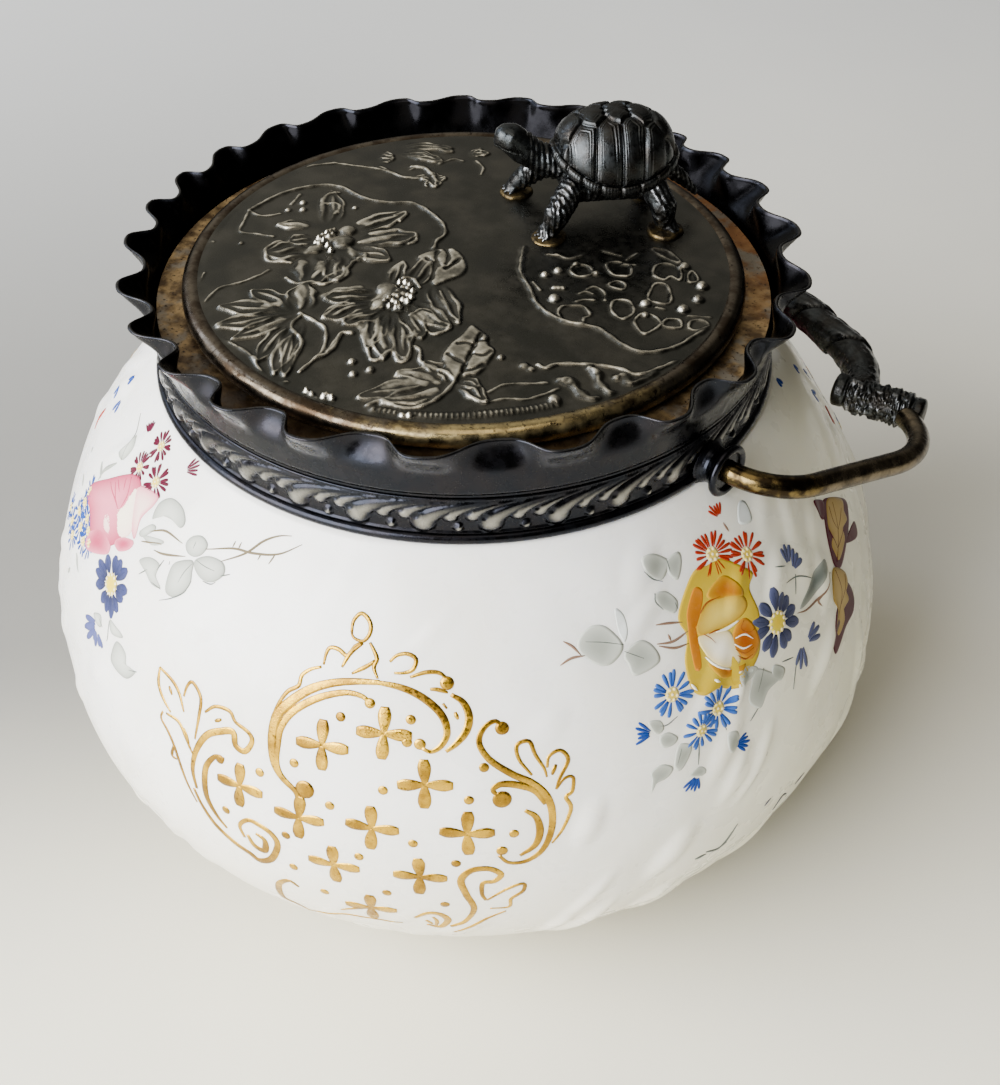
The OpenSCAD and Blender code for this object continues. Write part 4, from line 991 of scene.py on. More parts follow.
def gilt_cross(brush, pixel):
    """Four pointed-oval arms, upright on the picture."""
    place = on_bowl([pixel])[0]
    for arm in range(4):
        path = spoke(place, arm * TURN / 4 + 0.06 * RANDOM.normal(), 0.0, CROSS_ARM, 12)
        brush.line(path, swell(1.25, 0.3, 0.6, 0.68), GOLD)


def cartouche(brush):
    """Gilt scrolls round a field that is sown with crosses and dots."""
    for pixel in CROSSES:
        gilt_cross(brush, pixel)
    for pixel in GOLD_DOTS:
        brush.dot(on_bowl([pixel])[0], 0.95, GOLD)
    for pixel, radius in SCROLL_BLOBS:
        brush.dot(on_bowl([pixel])[0], radius, GOLD, lift=0.12)
    brush.line(route(MAIN_SCROLL), swell(0.95, 0.5, 0.5), GOLD)
    for pixels in BROAD_SCROLLS:
        brush.line(route(pixels), swell(0.75, 0.5, 0.45), GOLD, lift=0.1)
    for pixels in FINE_SCROLLS:
        brush.line(route(pixels), swell(0.42, 0.6, 0.5), GOLD, lift=0.08)


def make_painting(paint, gold):
    """The front is as seen, and the back repeats it."""
    for side, turned in (("front", 0.0), ("back", math.pi)):
        for name, draw, material, slot in (("right_spray", right_spray, paint, "enamel"),
                                           ("left_spray", left_spray, paint, "enamel"),
                                           ("gilt_cartouche", cartouche, gold, "gilding")):
            brush = Brush(turned)
            draw(brush)
            brush.build(f"{name}_{side}", material)


# ---- Collar: gadroon strip and frill ----

STRIP_COLS, STRIP_ROWS = 40, 32
# Head across and up, its width, tail across and up, as shares of the pitch and the height
STRIP_LOBES = [(0.20, 0.34, 0.21, 1.30, 0.93), (0.60, 0.54, 0.13, 1.50, 0.93),
    (0.93, 0.56, 0.13, 1.80, 0.93), (0.72, 0.20, 0.08, 0.76, 0.24)]
FRILL_COLS, FRILL_ROWS, CRIMP_SHARP = 40, 20, -0.2
CRIMP_START = (SEAT_Z - WALL_TOP + 0.1) / FRILL_H


def wheel(points_at, rows, cols):
    """Rings of points round the jar. points_at(turn, row) gives radius, height and turn."""
    rings = []
    for row in rows:
        r, z, a = points_at(around(cols), row)
        rings.append(np.stack([r * np.cos(a), r * np.sin(a), z + 0 * a], -1))
    return np.vstack(rings)


def strip_lobe(x, y, lobe, pitch, tall):
    """Height of one lobe of the strip: a round head and a tail that thins out."""
    head = np.array([lobe[0] * pitch, lobe[1] * tall])
    tail = np.array([lobe[3] * pitch, lobe[4] * tall])
    bend = np.array([head[0] * 0.7 + tail[0] * 0.3, tail[1] * 0.95])
    height = np.zeros_like(x)
    for t in np.linspace(0, 1, 26):
        q = head * (1 - t) ** 2 + bend * 2 * t * (1 - t) + tail * t * t
        d = np.hypot(x - q[0], y - q[1]) / (lobe[2] * pitch * (1 - 0.88 * t ** 0.5))
        height = np.maximum(height, np.sqrt(np.clip(1 - d * d, 0, 1)) * (1 - 0.45 * t))
    notch = np.hypot(x - head[0] + 0.5 * lobe[2] * pitch, y - head[1] - 0.5 * lobe[2] * pitch)
    return height * (0.55 + 0.45 * ramp(notch, 0.1, 0.9))


def make_strip(material):
    pitch, tall = TURN * WALL_OUT / GADROONS, STRIP_HIGH - STRIP_LOW
    x, y = np.meshgrid(np.arange(STRIP_COLS) / STRIP_COLS * pitch,
                       np.linspace(0, tall, STRIP_ROWS))
    relief = np.zeros_like(x)
    for lobe in STRIP_LOBES:
        for shift in (-pitch, 0, pitch, 2 * pitch):
            relief = np.maximum(relief, strip_lobe(x + shift, y, lobe, pitch, tall))
    relief[[0, -1]] = 0
    edge = np.maximum(1 - y / 0.5, 1 - (tall - y) / 0.45)
    relief = np.maximum(relief, 0.45 * np.sqrt(np.clip(edge * (1.9 - edge), 0, 1)))
    relief = np.tile(relief, (1, GADROONS))
    cols = GADROONS * STRIP_COLS
    front = wheel(lambda a, i: (WALL_OUT + STRIP_T + LOBE_H * relief[i],
                                STRIP_LOW + tall * i / (STRIP_ROWS - 1), a),
                  range(STRIP_ROWS), cols)
    back = wheel(lambda a, z: (WALL_OUT + 0.03, z, a), (STRIP_HIGH, STRIP_LOW), cols)
    values = np.concatenate([0.85 * relief.ravel() ** 3, np.zeros(2 * cols)])
    make_piece("gadroons", np.vstack([front, back]),
               grid_faces(STRIP_ROWS + 2, cols, closed_rows=True), material, "jar",
               values, replaces=["gadroon_strip"])


def crimp_turn(turns):
    """Phase of the hand-made crimps, which are broader at the front."""
    crests = np.radians(CREST_TURNS)
    thrice = np.concatenate([crests - TURN, crests, crests + TURN])
    count = np.arange(-CRIMPS, 2 * CRIMPS)
    blur = np.radians(np.linspace(-5, 5, 21))
    return TURN * np.mean([np.interp(turns + b, thrice, count) for b in blur], axis=0)


def frill_radius(turns, u):
    """Radius of the frill's outer skin, and the direction that its leaning crimps have."""
    d = turns - math.radians(FRILL_BACK)
    root = WALL_OUT + LIP_W - 0.05
    crest = WALL_OUT + CREST_OUT + FRILL_LEAN * (np.cos(d) - 0.36 * np.cos(2 * d))
    depth = CRIMP_DEPTH * (1 - 0.32 * np.cos(d) - 0.18 * np.cos(2 * d))
    phase = crimp_turn(turns)
    fold = np.cos(phase + CRIMP_SHARP * np.sin(2 * phase))
    grown = smooth((u - CRIMP_START) / (1 - CRIMP_START))
    return (root + (crest - depth - root) * u ** 1.3 + depth * fold * grown,
            turns - CRIMP_LEAN / (WALL_OUT + CREST_OUT) * np.cos(phase) * grown)


def make_frill(material):
    up = np.linspace(0, 1, FRILL_ROWS)
    lip = np.linspace(0, math.pi, 7)[1:-1]
    rows = ([(u, 0.0, 0.0) for u in up] + [(1.0, (1 - math.cos(a)) / 2, math.sin(a)) for a in lip]
            + [(u, 1.0, 0.0) for u in up[::-1]])

    def place(turns, row):
        u, inward, over = row
        r, leaned = frill_radius(turns, u)
        z = WALL_TOP + FRILL_H * u - 0.4 * FRILL_T * (u > 0.99) + 0.4 * FRILL_T * over
        return np.maximum(r - FRILL_T * inward, SEAT_OUT + 0.04 if u < 0.45 else 0), z, leaned

    cols = CRIMPS * FRILL_COLS
    # The lip is rubbed brighter. The inner face gets minus 0.5, a painted shade where the frill
    # faces the lid.
    shine = np.repeat([0.3 * over + 0.12 * ramp(u, 0.93, 1.0) - 0.5 * inward * (u < 1)
                       for u, inward, over in rows], cols)
    make_piece("frill", wheel(place, rows, cols), grid_faces(len(rows), cols, closed_rows=True),
               material, "jar", shine, replaces=["collar_frill"])


# ---- Lid: repousse work on the plate ----

def on_lid(pixels):
    """Places on the lid's plate, (x, y) in millimetres, that pixels show."""
    rays = sight(pixels)
    t = (PLATE_TOP - 0.6 - EYE[2]) / rays[:, 2]
    return (EYE + t[:, None] * rays)[:, :2]


PETAL_FLUTES = 2.5


class Hammer:
    """Raises relief on a sheet that is seen from above, and marks where it is rubbed bright."""

    def __init__(self, places):
        self.places = places
        self.height = np.zeros(len(places))
        self.brightened = np.zeros(len(places))

    def near(self, points, pad):
        low, high = points.min(0) - pad, points.max(0) + pad
        inside = ((self.places > low) & (self.places < high)).all(1)
        return np.flatnonzero(inside)

    def nearest(self, picked, line):
        """Distance from each picked place to a line of points, and which point is nearest."""
        q = self.places[picked]
        gaps = np.hypot(q[:, None, 0] - line[None, :, 0], q[:, None, 1] - line[None, :, 1])
        return gaps.min(1), gaps.argmin(1)

    def lift(self, picked, height, brightened):
        self.height[picked] = np.maximum(self.height[picked], height)
        self.brightened[picked] = np.maximum(self.brightened[picked], brightened)

    def ridge(self, pixels, half, height, brightened=0.25, ribs=0.0, closed=False):
        """A raised line that thins and swells, or a groove. Its ribs are ribs mm apart."""
        line = through(on_lid(pixels), 0.25, closed)
        picked = self.near(line, half)
        gap, at = self.nearest(picked, line)
        beat = 1 + 0.25 * np.sin(0.45 * at + line[0, 0])
        d = np.clip(gap / (half if ribs else half * beat), 0, 1)
        rise = height * (1 - d * d) ** 1.5
        if ribs:
            rise *= 0.62 + 0.38 * np.cos(at * 0.25 * TURN / ribs)
        if height < 0:
            self.height[picked] += rise
            self.brightened[picked] *= d ** 2
        else:
            self.lift(picked, self.height[picked] * 0.4 + rise, brightened * (1 - d * d) ** 0.5)

    def bead(self, pixel, radius, height, brightened=0.35):
        place = on_lid([pixel])
        picked = self.near(place, radius)
        d = np.clip(np.hypot(*(self.places[picked] - place[0]).T) / radius, 0, 1)
        self.lift(picked, height * np.sqrt(1 - d * d), brightened * (1 - d * d))

    def sheet(self, pixels, height, brightened=0.7, edge=0.9):
        """A filled shape with a rounded edge and soft creases."""
        line = through(on_lid(pixels), 0.35, closed=True)
        picked = self.near(line, 0.1)
        q = self.places[picked]
        after = np.roll(line, -1, 0)
        over = (line[:, 1] > q[:, None, 1]) != (after[:, 1] > q[:, None, 1])
        step = np.where(after[:, 1] == line[:, 1], 1e-9, after[:, 1] - line[:, 1])
        cross = line[:, 0] + (q[:, None, 1] - line[:, 1]) * (after[:, 0] - line[:, 0]) / step
        inside = (over & (q[:, :1] < cross)).sum(1) % 2 == 1
        picked, q = picked[inside], q[inside]
        d = np.clip(self.nearest(picked, line)[0] / edge, 0, 1)
        creases = 0.5 + 0.5 * cloud(np.c_[q, 0 * d], 3.2, 22)
        top = height * np.sqrt(1 - (1 - d) ** 2)
        self.lift(picked, top - 0.1 * creases * d, brightened * (1 - 0.35 * creases) * d)

    def petal(self, foot, tip, wide, height):
        """A fluted petal from foot to tip, about wide millimetres across, with a wavy rim."""
        a, b = on_lid([foot, tip])
        length = np.hypot(*(b - a))
        aim = (b - a) / length
        picked = self.near(np.array([a, b]), wide)
        q = self.places[picked] - a
        u = q @ aim / length
        inside = (u > 0) & (u < 1)
        u = np.clip(u, 1e-3, 1 - 1e-3)
        half = 0.6 * wide * np.sin(math.pi * u ** 0.8) ** 0.55
        half *= 1 + 0.13 * np.sin(14 * u + foot[0]) * ramp(u, 0.3, 0.6)
        v = (q @ np.array([-aim[1], aim[0]])) / half
        v = v + 0.12 * np.sin(9 * u + foot[0]) * (1 - np.abs(v))
        edge = np.minimum(1 - np.abs(v), (1 - u) * length / half)
        inside &= edge > 0
        flute = np.cos(v * math.pi * PETAL_FLUTES + 1.5 * np.sin(4 * u + tip[0]))
        body = 0.5 * height * ramp(u, 0.0, 0.6) * np.sqrt(np.clip(1 - v * v, 0, 1)) ** 0.6
        body += 0.24 * flute * ramp(u, 0.05, 0.3) * (1 - ramp(u, 0.6, 0.95))
        body += 0.26 * np.exp(-((edge * half - 0.42) / 0.24) ** 2) * ramp(u, 0.35, 0.75)
        body *= ramp(edge, 0.0, 0.1)
        tipped = ramp(u, 0.3, 0.6) * (1 - ramp(u, 0.7, 0.95)) * ramp(flute, 0.2, 0.9)
        self.lift(picked[inside], body[inside], 0.55 * tipped[inside])


# Positions on the picture, in pixels. A petal is its foot, tip, width and height, a dome or a
# bead its middle, radius and height, and a sheet its outline and height.
LEFT_PANEL = [(249, 210), (276, 196), (299, 189), (324, 186), (343, 189), (356, 196), (371, 202),
    (391, 205), (408, 205), (421, 209), (434, 218), (443, 227), (445, 237), (437, 244), (434, 251)]
LEFT_LINES = [[(249, 210), (243, 222), (240, 231), (256, 234), (273, 237)], [(249, 210),
    (258, 215), (269, 216), (280, 214)], [(204, 301), (219, 288), (241, 283), (260, 276),
    (269, 271)], [(199, 320), (213, 333), (243, 349), (252, 357), (260, 372), (276, 381),
    (287, 381)], [(300, 195), (291, 205)], [(339, 194), (323, 200), (321, 205), (321, 213)],
    [(326, 206), (337, 206), (336, 216)], [(323, 320), (354, 309)], [(339, 325), (348, 321),
    (361, 318)], [(350, 268), (354, 264), (363, 262), (365, 256)], [(334, 163), (354, 166),
    (380, 170), (398, 177), (413, 180), (435, 179)], [(289, 170), (313, 165), (336, 163)],
    [(199, 246), (206, 239), (213, 241)], [(197, 283), (204, 272)]]
STEMS = [[(300, 315), (313, 322), (324, 329), (326, 338), (323, 351), (313, 361), (299, 372)],
    [(352, 335), (341, 336), (336, 346), (328, 354), (315, 360)], [(300, 318), (293, 324),
    (292, 331), (299, 338), (302, 344), (300, 350), (295, 356)], [(415, 349), (420, 353),
    (421, 364), (434, 371), (445, 374), (454, 381)], [(411, 168), (424, 170), (430, 175),
    (437, 184)]]
BACK_FLOWER = [((356, 244), (418, 239), 5.6, 1.0), ((352, 231), (408, 216), 5.0, 0.8), ((332, 227),
    (332, 192), 4.6, 0.7), ((313, 227), (276, 226), 3.2, 0.9), ((313, 251), (264, 255), 6.4, 1.0),
    ((321, 255), (310, 288), 8.0, 0.9), ((336, 255), (337, 285), 5.6, 0.8), ((350, 250),
    (391, 263), 5.0, 0.7), ((313, 239), (287, 244), 4.0, 0.6)]
BACK_DOMES = [((343, 244), 3.4, 1.5), ((348, 233), 2.6, 1.1), ((315, 251), 2.4, 1.0)]
BACK_STAMENS = [(316, 246), (319, 241), (323, 239), (327, 236), (331, 235), (335, 234), (324, 243),
    (320, 247), (329, 240), (333, 238), (328, 248), (331, 253)]
FRONT_FLOWER = [((402, 290), (454, 253), 5.0, 0.9), ((393, 287), (404, 264), 3.0, 0.9),
    ((380, 298), (323, 301), 5.0, 0.9), ((380, 305), (321, 320), 5.6, 0.9), ((385, 309),
    (343, 327), 4.6, 0.7), ((382, 311), (367, 353), 4.4, 1.0), ((387, 313), (383, 362), 4.6, 1.0),
    ((397, 313), (404, 362), 4.8, 1.0), ((404, 307), (422, 342), 4.4, 0.8), ((408, 305),
    (451, 332), 5.0, 1.0)]
FRONT_DOMES = [((387, 292), 3.2, 1.4), ((380, 307), 2.6, 1.2), ((398, 298), 3.6, 1.3)]
FRONT_STAMENS = [(400, 286), (406, 286), (410, 289), (413, 295), (412, 301), (408, 300),
    (403, 292), (408, 293), (403, 299), (398, 296), (398, 301), (403, 304), (408, 305), (394, 300),
    (393, 305), (397, 307), (400, 311), (396, 311), (390, 309), (389, 302), (385, 305)]
BURST = [((300, 313), (210, 327), 4.6, 0.9), ((300, 313), (217, 307), 5.0, 0.9), ((299, 313),
    (250, 292), 5.0, 0.9), ((300, 313), (304, 286), 5.6, 1.0), ((300, 314), (230, 340), 4.0, 0.8),
    ((299, 316), (256, 362), 4.6, 0.8), ((299, 317), (273, 375), 4.2, 0.8), ((296, 320),
    (284, 377), 3.6, 0.7)]
FLOWER_LINES = [[(286, 279), (293, 284), (302, 286), (312, 285), (322, 287), (333, 284),
    (343, 278), (344, 269)], [(281, 242), (274, 244), (266, 249), (265, 256), (269, 262),
    (279, 263), (291, 264)], [(326, 206), (339, 207), (338, 215)], [(322, 204), (325, 198),
    (339, 194)], [(400, 235), (406, 237), (416, 237), (416, 244), (408, 247)], [(394, 219),
    (407, 216), (400, 224)], [(365, 263), (365, 258), (354, 264), (350, 270)], [(440, 294),
    (445, 305), (450, 317), (459, 326)], [(368, 353), (371, 361), (379, 361), (387, 355),
    (392, 354), (399, 363), (408, 361), (410, 351), (408, 342), (417, 338)], [(410, 319),
    (421, 313), (431, 315), (438, 324), (450, 331), (434, 337), (427, 334)], [(323, 320),
    (337, 311), (354, 307)], [(343, 324), (348, 321), (362, 317)], [(327, 353), (337, 340),
    (343, 335), (352, 335)], [(253, 356), (257, 365), (262, 372), (272, 380), (283, 384)],
    [(403, 281), (412, 281), (420, 290)]]
STREAKS = [[(360, 244), (388, 241)], [(371, 236), (394, 234)], [(360, 225), (375, 218)],
    [(367, 226), (383, 223)], [(324, 298), (339, 292), (360, 290)], [(360, 326), (364, 337),
    (371, 347)], [(377, 324), (379, 336), (385, 350)], [(416, 320), (424, 328)], [(421, 318),
    (430, 326)], [(283, 226), (306, 227)], [(262, 330), (281, 321)], [(264, 309), (278, 306)],
    [(299, 271), (304, 264)], [(318, 272), (322, 264)], [(390, 275), (401, 267)], [(307, 254),
    (320, 249)], [(324, 242), (344, 240)], [(338, 233), (351, 231)], [(350, 250), (354, 257)],
    [(373, 311), (384, 302), (392, 291)], [(374, 303), (386, 294)], [(404, 341), (414, 338)],
    [(211, 327), (218, 325)], [(396, 377), (410, 374), (418, 378)], [(425, 378), (437, 383)],
    [(384, 389), (404, 384), (424, 385)], [(398, 398), (420, 396), (436, 391)]]
BRIGHT_SHEETS = [([(417, 260), (436, 253), (453, 252), (463, 259), (467, 271), (461, 279),
    (448, 284), (434, 288), (429, 279), (427, 271)], 0.5), ([(442, 363), (448, 349), (461, 338),
    (471, 328), (480, 333), (488, 339), (489, 347), (495, 353), (489, 364), (479, 375), (465, 378),
    (455, 383)], 0.6), ([(292, 296), (298, 288), (306, 288), (310, 296), (306, 306), (299, 311)],
    0.5)]
FOLDS = [[(459, 381), (466, 366), (473, 352), (481, 337)], [(466, 366), (456, 362), (448, 357)],
    [(471, 356), (483, 358), (491, 354)], [(474, 348), (466, 346), (458, 347)], [(463, 373),
    (475, 371), (484, 367)], [(478, 343), (485, 344), (489, 342)], [(427, 262), (435, 268),
    (432, 282)], [(446, 253), (449, 260), (446, 268)], [(460, 262), (453, 268), (446, 272)],
    [(438, 255), (436, 262), (440, 270)]]
BERRIES = [((352, 363), 1.7), ((353, 375), 1.6), ((370, 371), 1.7), ((288, 211), 1.2), ((303, 204),
    1.4), ((303, 211), 1.4), ((241, 243), 0.8), ((355, 210), 1.0)]
LOWER_LEAVES = [((453, 380), (395, 374), 4.4, 0.9), ((452, 382), (356, 398), 5.4, 0.8),
    ((452, 384), (380, 404), 4.6, 1.0), ((448, 375), (422, 364), 3.2, 0.9)]
LOWER_EDGE = [(367, 405), (380, 401), (391, 405), (406, 408), (421, 406), (437, 399), (446, 392),
    (454, 383)]
RIM_BEADS = [(306, 391), (311, 394), (315, 398), (323, 397), (327, 396), (332, 398), (402, 416),
    (409, 416)]
TOP_LEAVES = [((404, 153), (443, 163), 3.6, 0.9), ((398, 146), (454, 149), 2.8, 0.8), ((378, 160),
    (395, 159), 2.6, 0.7), ((424, 144), (454, 153), 2.6, 0.7), ((430, 186), (424, 186), 2.0, 0.6)]
SMALL_LEAVES = [((456, 381), (439, 371), 3.4, 0.8), ((458, 381), (481, 389), 3.2, 0.9),
    ((459, 382), (487, 404), 3.4, 0.9), ((433, 286), (458, 327), 5.0, 0.9)]
RIGHT_PANEL = [(524, 250), (521, 264), (521, 276), (530, 292), (535, 304), (545, 314), (558, 321),
    (568, 325), (584, 327), (598, 330), (610, 337), (624, 346), (642, 352), (663, 350), (681, 344),
    (695, 335), (710, 328)]
OUTLINED_PETALS = [[(648, 300), (651, 290), (656, 285), (666, 286), (671, 297), (669, 304),
    (659, 304)], [(633, 308), (628, 302), (614, 302), (611, 311), (617, 318), (624, 320),
    (633, 314)], [(644, 314), (635, 320), (635, 325), (643, 334), (652, 331), (660, 325),
    (656, 318)], [(680, 271), (668, 265), (656, 267), (653, 276), (663, 281), (671, 278),
    (680, 281)], [(679, 264), (663, 258), (652, 251), (665, 251), (677, 259)], [(688, 276),
    (689, 283), (698, 281), (693, 272)], [(558, 316), (565, 323), (581, 326), (584, 320),
    (590, 317), (584, 309), (574, 308), (562, 309)], [(609, 286), (617, 283), (625, 286),
    (623, 291), (612, 289)], [(570, 272), (575, 278), (584, 279), (592, 276), (589, 269),
    (577, 267)], [(606, 267), (612, 276), (621, 278), (630, 277), (630, 269), (617, 264)],
    [(663, 326), (672, 328), (681, 327), (679, 320), (666, 320)], [(689, 328), (698, 330),
    (709, 325), (702, 320), (691, 321)]]
RIGHT_BEADS = [((645, 305), 2.2), ((645, 316), 1.4), ((684, 268), 2.4), ((702, 287), 2.7),
    ((698, 300), 2.4), ((683, 310), 2.6), ((554, 302), 2.5), ((545, 278), 1.9), ((558, 274), 2.0),
    ((554, 291), 1.1), ((558, 291), 1.1), ((563, 291), 1.1), ((596, 276), 1.4), ((576, 267), 1.3),
    ((501, 359), 1.3), ((554, 400), 2.6)]
RIGHT_STROKES = [[(579, 296), (586, 294), (593, 296)], [(576, 304), (584, 302), (594, 302)],
    [(586, 292), (595, 289), (604, 294), (605, 302)], [(656, 308), (665, 310)], [(556, 257),
    (568, 261), (582, 258)], [(547, 257), (558, 258)], [(602, 253), (621, 258)], [(621, 267),
    (635, 267)], [(626, 262), (637, 255)], [(533, 285), (540, 293)], [(688, 316), (710, 317)]]
CURL_EDGE = [(538, 366), (545, 369), (558, 365), (586, 365), (603, 366), (621, 369), (637, 374),
    (656, 369), (681, 359)]
CURLS = [[(561, 381), (570, 380), (575, 388), (586, 397), (597, 399)], [(590, 369), (597, 374),
    (599, 383), (607, 391), (613, 394)], [(617, 378), (624, 376), (630, 383), (642, 381),
    (656, 374)]]
CURL_DOMES = [((524, 367), 1.5, 0.7), ((531, 370), 1.3, 0.6), ((567, 383), 1.6, 0.9), ((595, 373),
    1.5, 0.9), ((623, 376), 1.1, 0.8), ((500, 359), 0.9, 0.5)]
CURL_LINES = [[(488, 393), (505, 385), (533, 384), (547, 383)], [(486, 403), (505, 399),
    (526, 399), (547, 393), (559, 388)]]
KNURLED = [(374, 409), (400, 413), (430, 415), (467, 415), (510, 411), (533, 408), (556, 403)]
SCRATCHES = [[(502, 337), (526, 332), (549, 326)], [(470, 315), (493, 311), (510, 307)],
    [(479, 330), (495, 330), (517, 325)]]
SMALL_FLOWER = [((435, 181), (420, 181), 2.2, 0.7), ((435, 181), (435, 190), 2.4, 0.7),
    ((435, 181), (447, 180), 2.2, 0.7), ((435, 181), (434, 174), 1.8, 0.5)]
FAR_LEAVES = [((403, 144), (447, 150), 3.0, 0.8), ((401, 152), (436, 159), 3.4, 0.9), ((467, 153),
    (490, 155), 2.6, 0.7), ((472, 157), (481, 149), 2.2, 0.7), ((378, 155), (394, 157), 3.0, 0.8)]
FAR_LINES = [[(410, 171), (421, 167), (427, 170), (436, 179)], [(439, 165), (453, 160),
    (463, 162)], [(380, 167), (394, 174), (405, 179), (424, 177)], [(476, 162), (483, 169),
    (481, 176)]]


# Cell of the relief's own grid, columns and rows of the plate's top, and how many of the
# top's rows go to one row of its underside
LID_CELL = 0.2
LID_COLS, LID_ROWS, UNDER_STEP = 1200, 190, 19


def lid_relief(places):
    """The repousse work: two large flowers, a leaf burst, panels and a border of curls."""
    h = Hammer(places)
    for petal in (BACK_FLOWER + FRONT_FLOWER + BURST + LOWER_LEAVES + TOP_LEAVES + SMALL_LEAVES
                  + SMALL_FLOWER + FAR_LEAVES):
        h.petal(*petal)
    for outline, height in BRIGHT_SHEETS:
        h.sheet(outline, height)
    for pixel, radius, height in BACK_DOMES + FRONT_DOMES + CURL_DOMES:
        h.bead(pixel, 0.7 * radius, 0.7 * height)
    for pixel, radius in BERRIES + RIGHT_BEADS:
        h.bead(pixel, 0.4 * radius + 0.2, 0.35 * radius + 0.25)
    for outline in OUTLINED_PETALS:
        h.ridge(outline, 0.4, 0.5, closed=True)
    fine = LEFT_LINES + RIGHT_STROKES + FAR_LINES + CURL_LINES
    for lines, half, height, brightened in (
            (FLOWER_LINES, 0.42, 0.6, 0.5), (STREAKS, 0.9, 0.32, 0.6), (fine, 0.4, 0.4, 0.25),
            (STEMS + [LOWER_EDGE, CURL_EDGE], 0.55, 0.6, 0.4), (CURLS, 1.2, 0.7, 0.1),
            ([LEFT_PANEL, RIGHT_PANEL], 0.7, 0.5, 0.1)):
        for line in lines:
            h.ridge(line, half, height, brightened)
    h.ridge(KNURLED, 1.3, 0.6, 0.1, ribs=0.95)
    for line in FOLDS:
        h.ridge(line, 0.55, -0.45)
    for line in SCRATCHES:
        h.ridge(line, 0.3, -0.08)
    for pixel in BACK_STAMENS + FRONT_STAMENS + RIM_BEADS:
        h.bead(pixel, 0.62, 1.35, 0.7)
    return h.height, h.brightened


def softened(grid, reach):
    """The mean of a grid over squares of cells."""
    for axis in (0, 1):
        grid = np.mean([np.roll(grid, k, axis) for k in range(-reach, reach + 1)], axis=0)
    return grid


def pick_off(grid, places):
    """Values of the lid's grid of cells at places between its cells."""
    at = places / LID_CELL + len(grid) // 2
    cell = np.floor(at).astype(int)
    fx, fy = (at - cell).T
    i, j = cell[:, 1], cell[:, 0]
    return ((grid[i, j] * (1 - fx) + grid[i, j + 1] * fx) * (1 - fy)
            + (grid[i + 1, j] * (1 - fx) + grid[i + 1, j + 1] * fx) * fy)


def make_lid(material):
    n = 2 * int(PLATE_R / LID_CELL + 3) + 1
    line = (np.arange(n) - n // 2) * LID_CELL
    x, y = np.meshgrid(line, line)
    raised, brightened = lid_relief(np.stack([x.ravel(), y.ravel()], -1))
    raised = raised.reshape(n, n)
    crests = np.clip(raised - softened(raised, 4), 0, 1)
    worn = 2.4 * crests + brightened.reshape(n, n)
    share = np.linspace(1 / LID_ROWS, 1, LID_ROWS)
    x, y = [np.outer(PLATE_R * share, f(around(LID_COLS))) for f in (np.cos, np.sin)]
    places = np.stack([x.ravel(), y.ravel()], -1)
    share = np.repeat(share, LID_COLS)
    dents = 0.12 * cloud(np.c_[places, 0 * share], 11.0, 21)
    fade = 1 - ramp(share, 0.965, 0.99)
    dome = PLATE_TOP - LID_DOME * share ** 2
    top = np.c_[places, dome + (pick_off(softened(raised, 1), places) + dents) * fade]
    low = np.c_[places, dome - LID_T][::-1].reshape(LID_ROWS, LID_COLS, 3)[:, ::-1]
    low = np.vstack(low[::UNDER_STEP])
    points = np.vstack([top, low, [[0, 0, PLATE_TOP], [0, 0, PLATE_TOP - LID_T]]])
    layers = (len(top) + len(low)) // LID_COLS
    values = np.concatenate([pick_off(worn, places) * fade, np.zeros(len(low) + 2)])
    make_piece("lid", points, capped_grid(layers, LID_COLS), material, "lid",
               values, replaces=["lid_plate"])


# ---- Turtle: its own frame looks along +X, with its left along +Y ----

SHELL_L, SHELL_W, SHELL_TOP, SHELL_RIM = 25.4, 21.2, 22.4, 8.8
SHELL_SHIFT, RIM_FORE, RIM_AFT, MARGINAL_H = -1.0, 4.8, 3.0, 1.9
MARGINALS = 20
SHELL_COLS, BAND_ROWS, DOME_ROWS = 440, 40, 130
SCUTE_L, SCUTE_IN, SCUTE_OUT = 4.775, 2.3, 4.4
TURTLE_INSET, TURTLE_TURN, HEADING = 18.0, math.radians(74.9), math.radians(228.7)
HIP_Z = SHELL_RIM
# Feet and hips as (x, y), and limbs as lines of stops, each a place and a radius
FEET = [(12.6, 8.5), (17, -10.3), (-10.5, 8.5), (-9.5, -8.5)]
HIPS = [(8.5, 6.5), (9, -6.5), (-8, 6.5), (-8, -6.5)]
LIMBS = [
    [((-7, -4.5, 8.5), 3), ((6, -4.5, 8.5), 3), ((6, 4.5, 8.5), 3), ((-7, 4.5, 8.5), 3),
     ((-7, -4.5, 8.5), 3)],
    [((-7, 0, 8.3), 3.2), ((7, 0, 8.6), 3.2)],
    [((7, 0, 10.8), 3.4), ((12, 0, 12), 3.2), ((15.5, 0, 13.6), 2.75)],
    [((15.2, 0, 13.8), 2.9), ((17, 0, 15), 3.15), ((19.4, 0, 17.3), 3.0), ((20.4, 0, 17.9), 2.5)],
    [((19.8, 0, 17.2), 2.5), ((21.6, 0, 17.0), 1.5), ((22.2, 0, 16.7), 0.9)],
    [((-11, 0, 10), 1.9), ((-15, 0, 6.6), 1.3), ((-18.2, 0, 3.1), 0.55)]]
TURTLE_EYES = [((19.9, 2.25 * side, 17.9), 0.62) for side in (-1, 1)]
TOE_TURNS = np.radians([-56, -28, 0, 28, 56])
SOLDER_COLS, SOLDER_ROWS = 60, 14


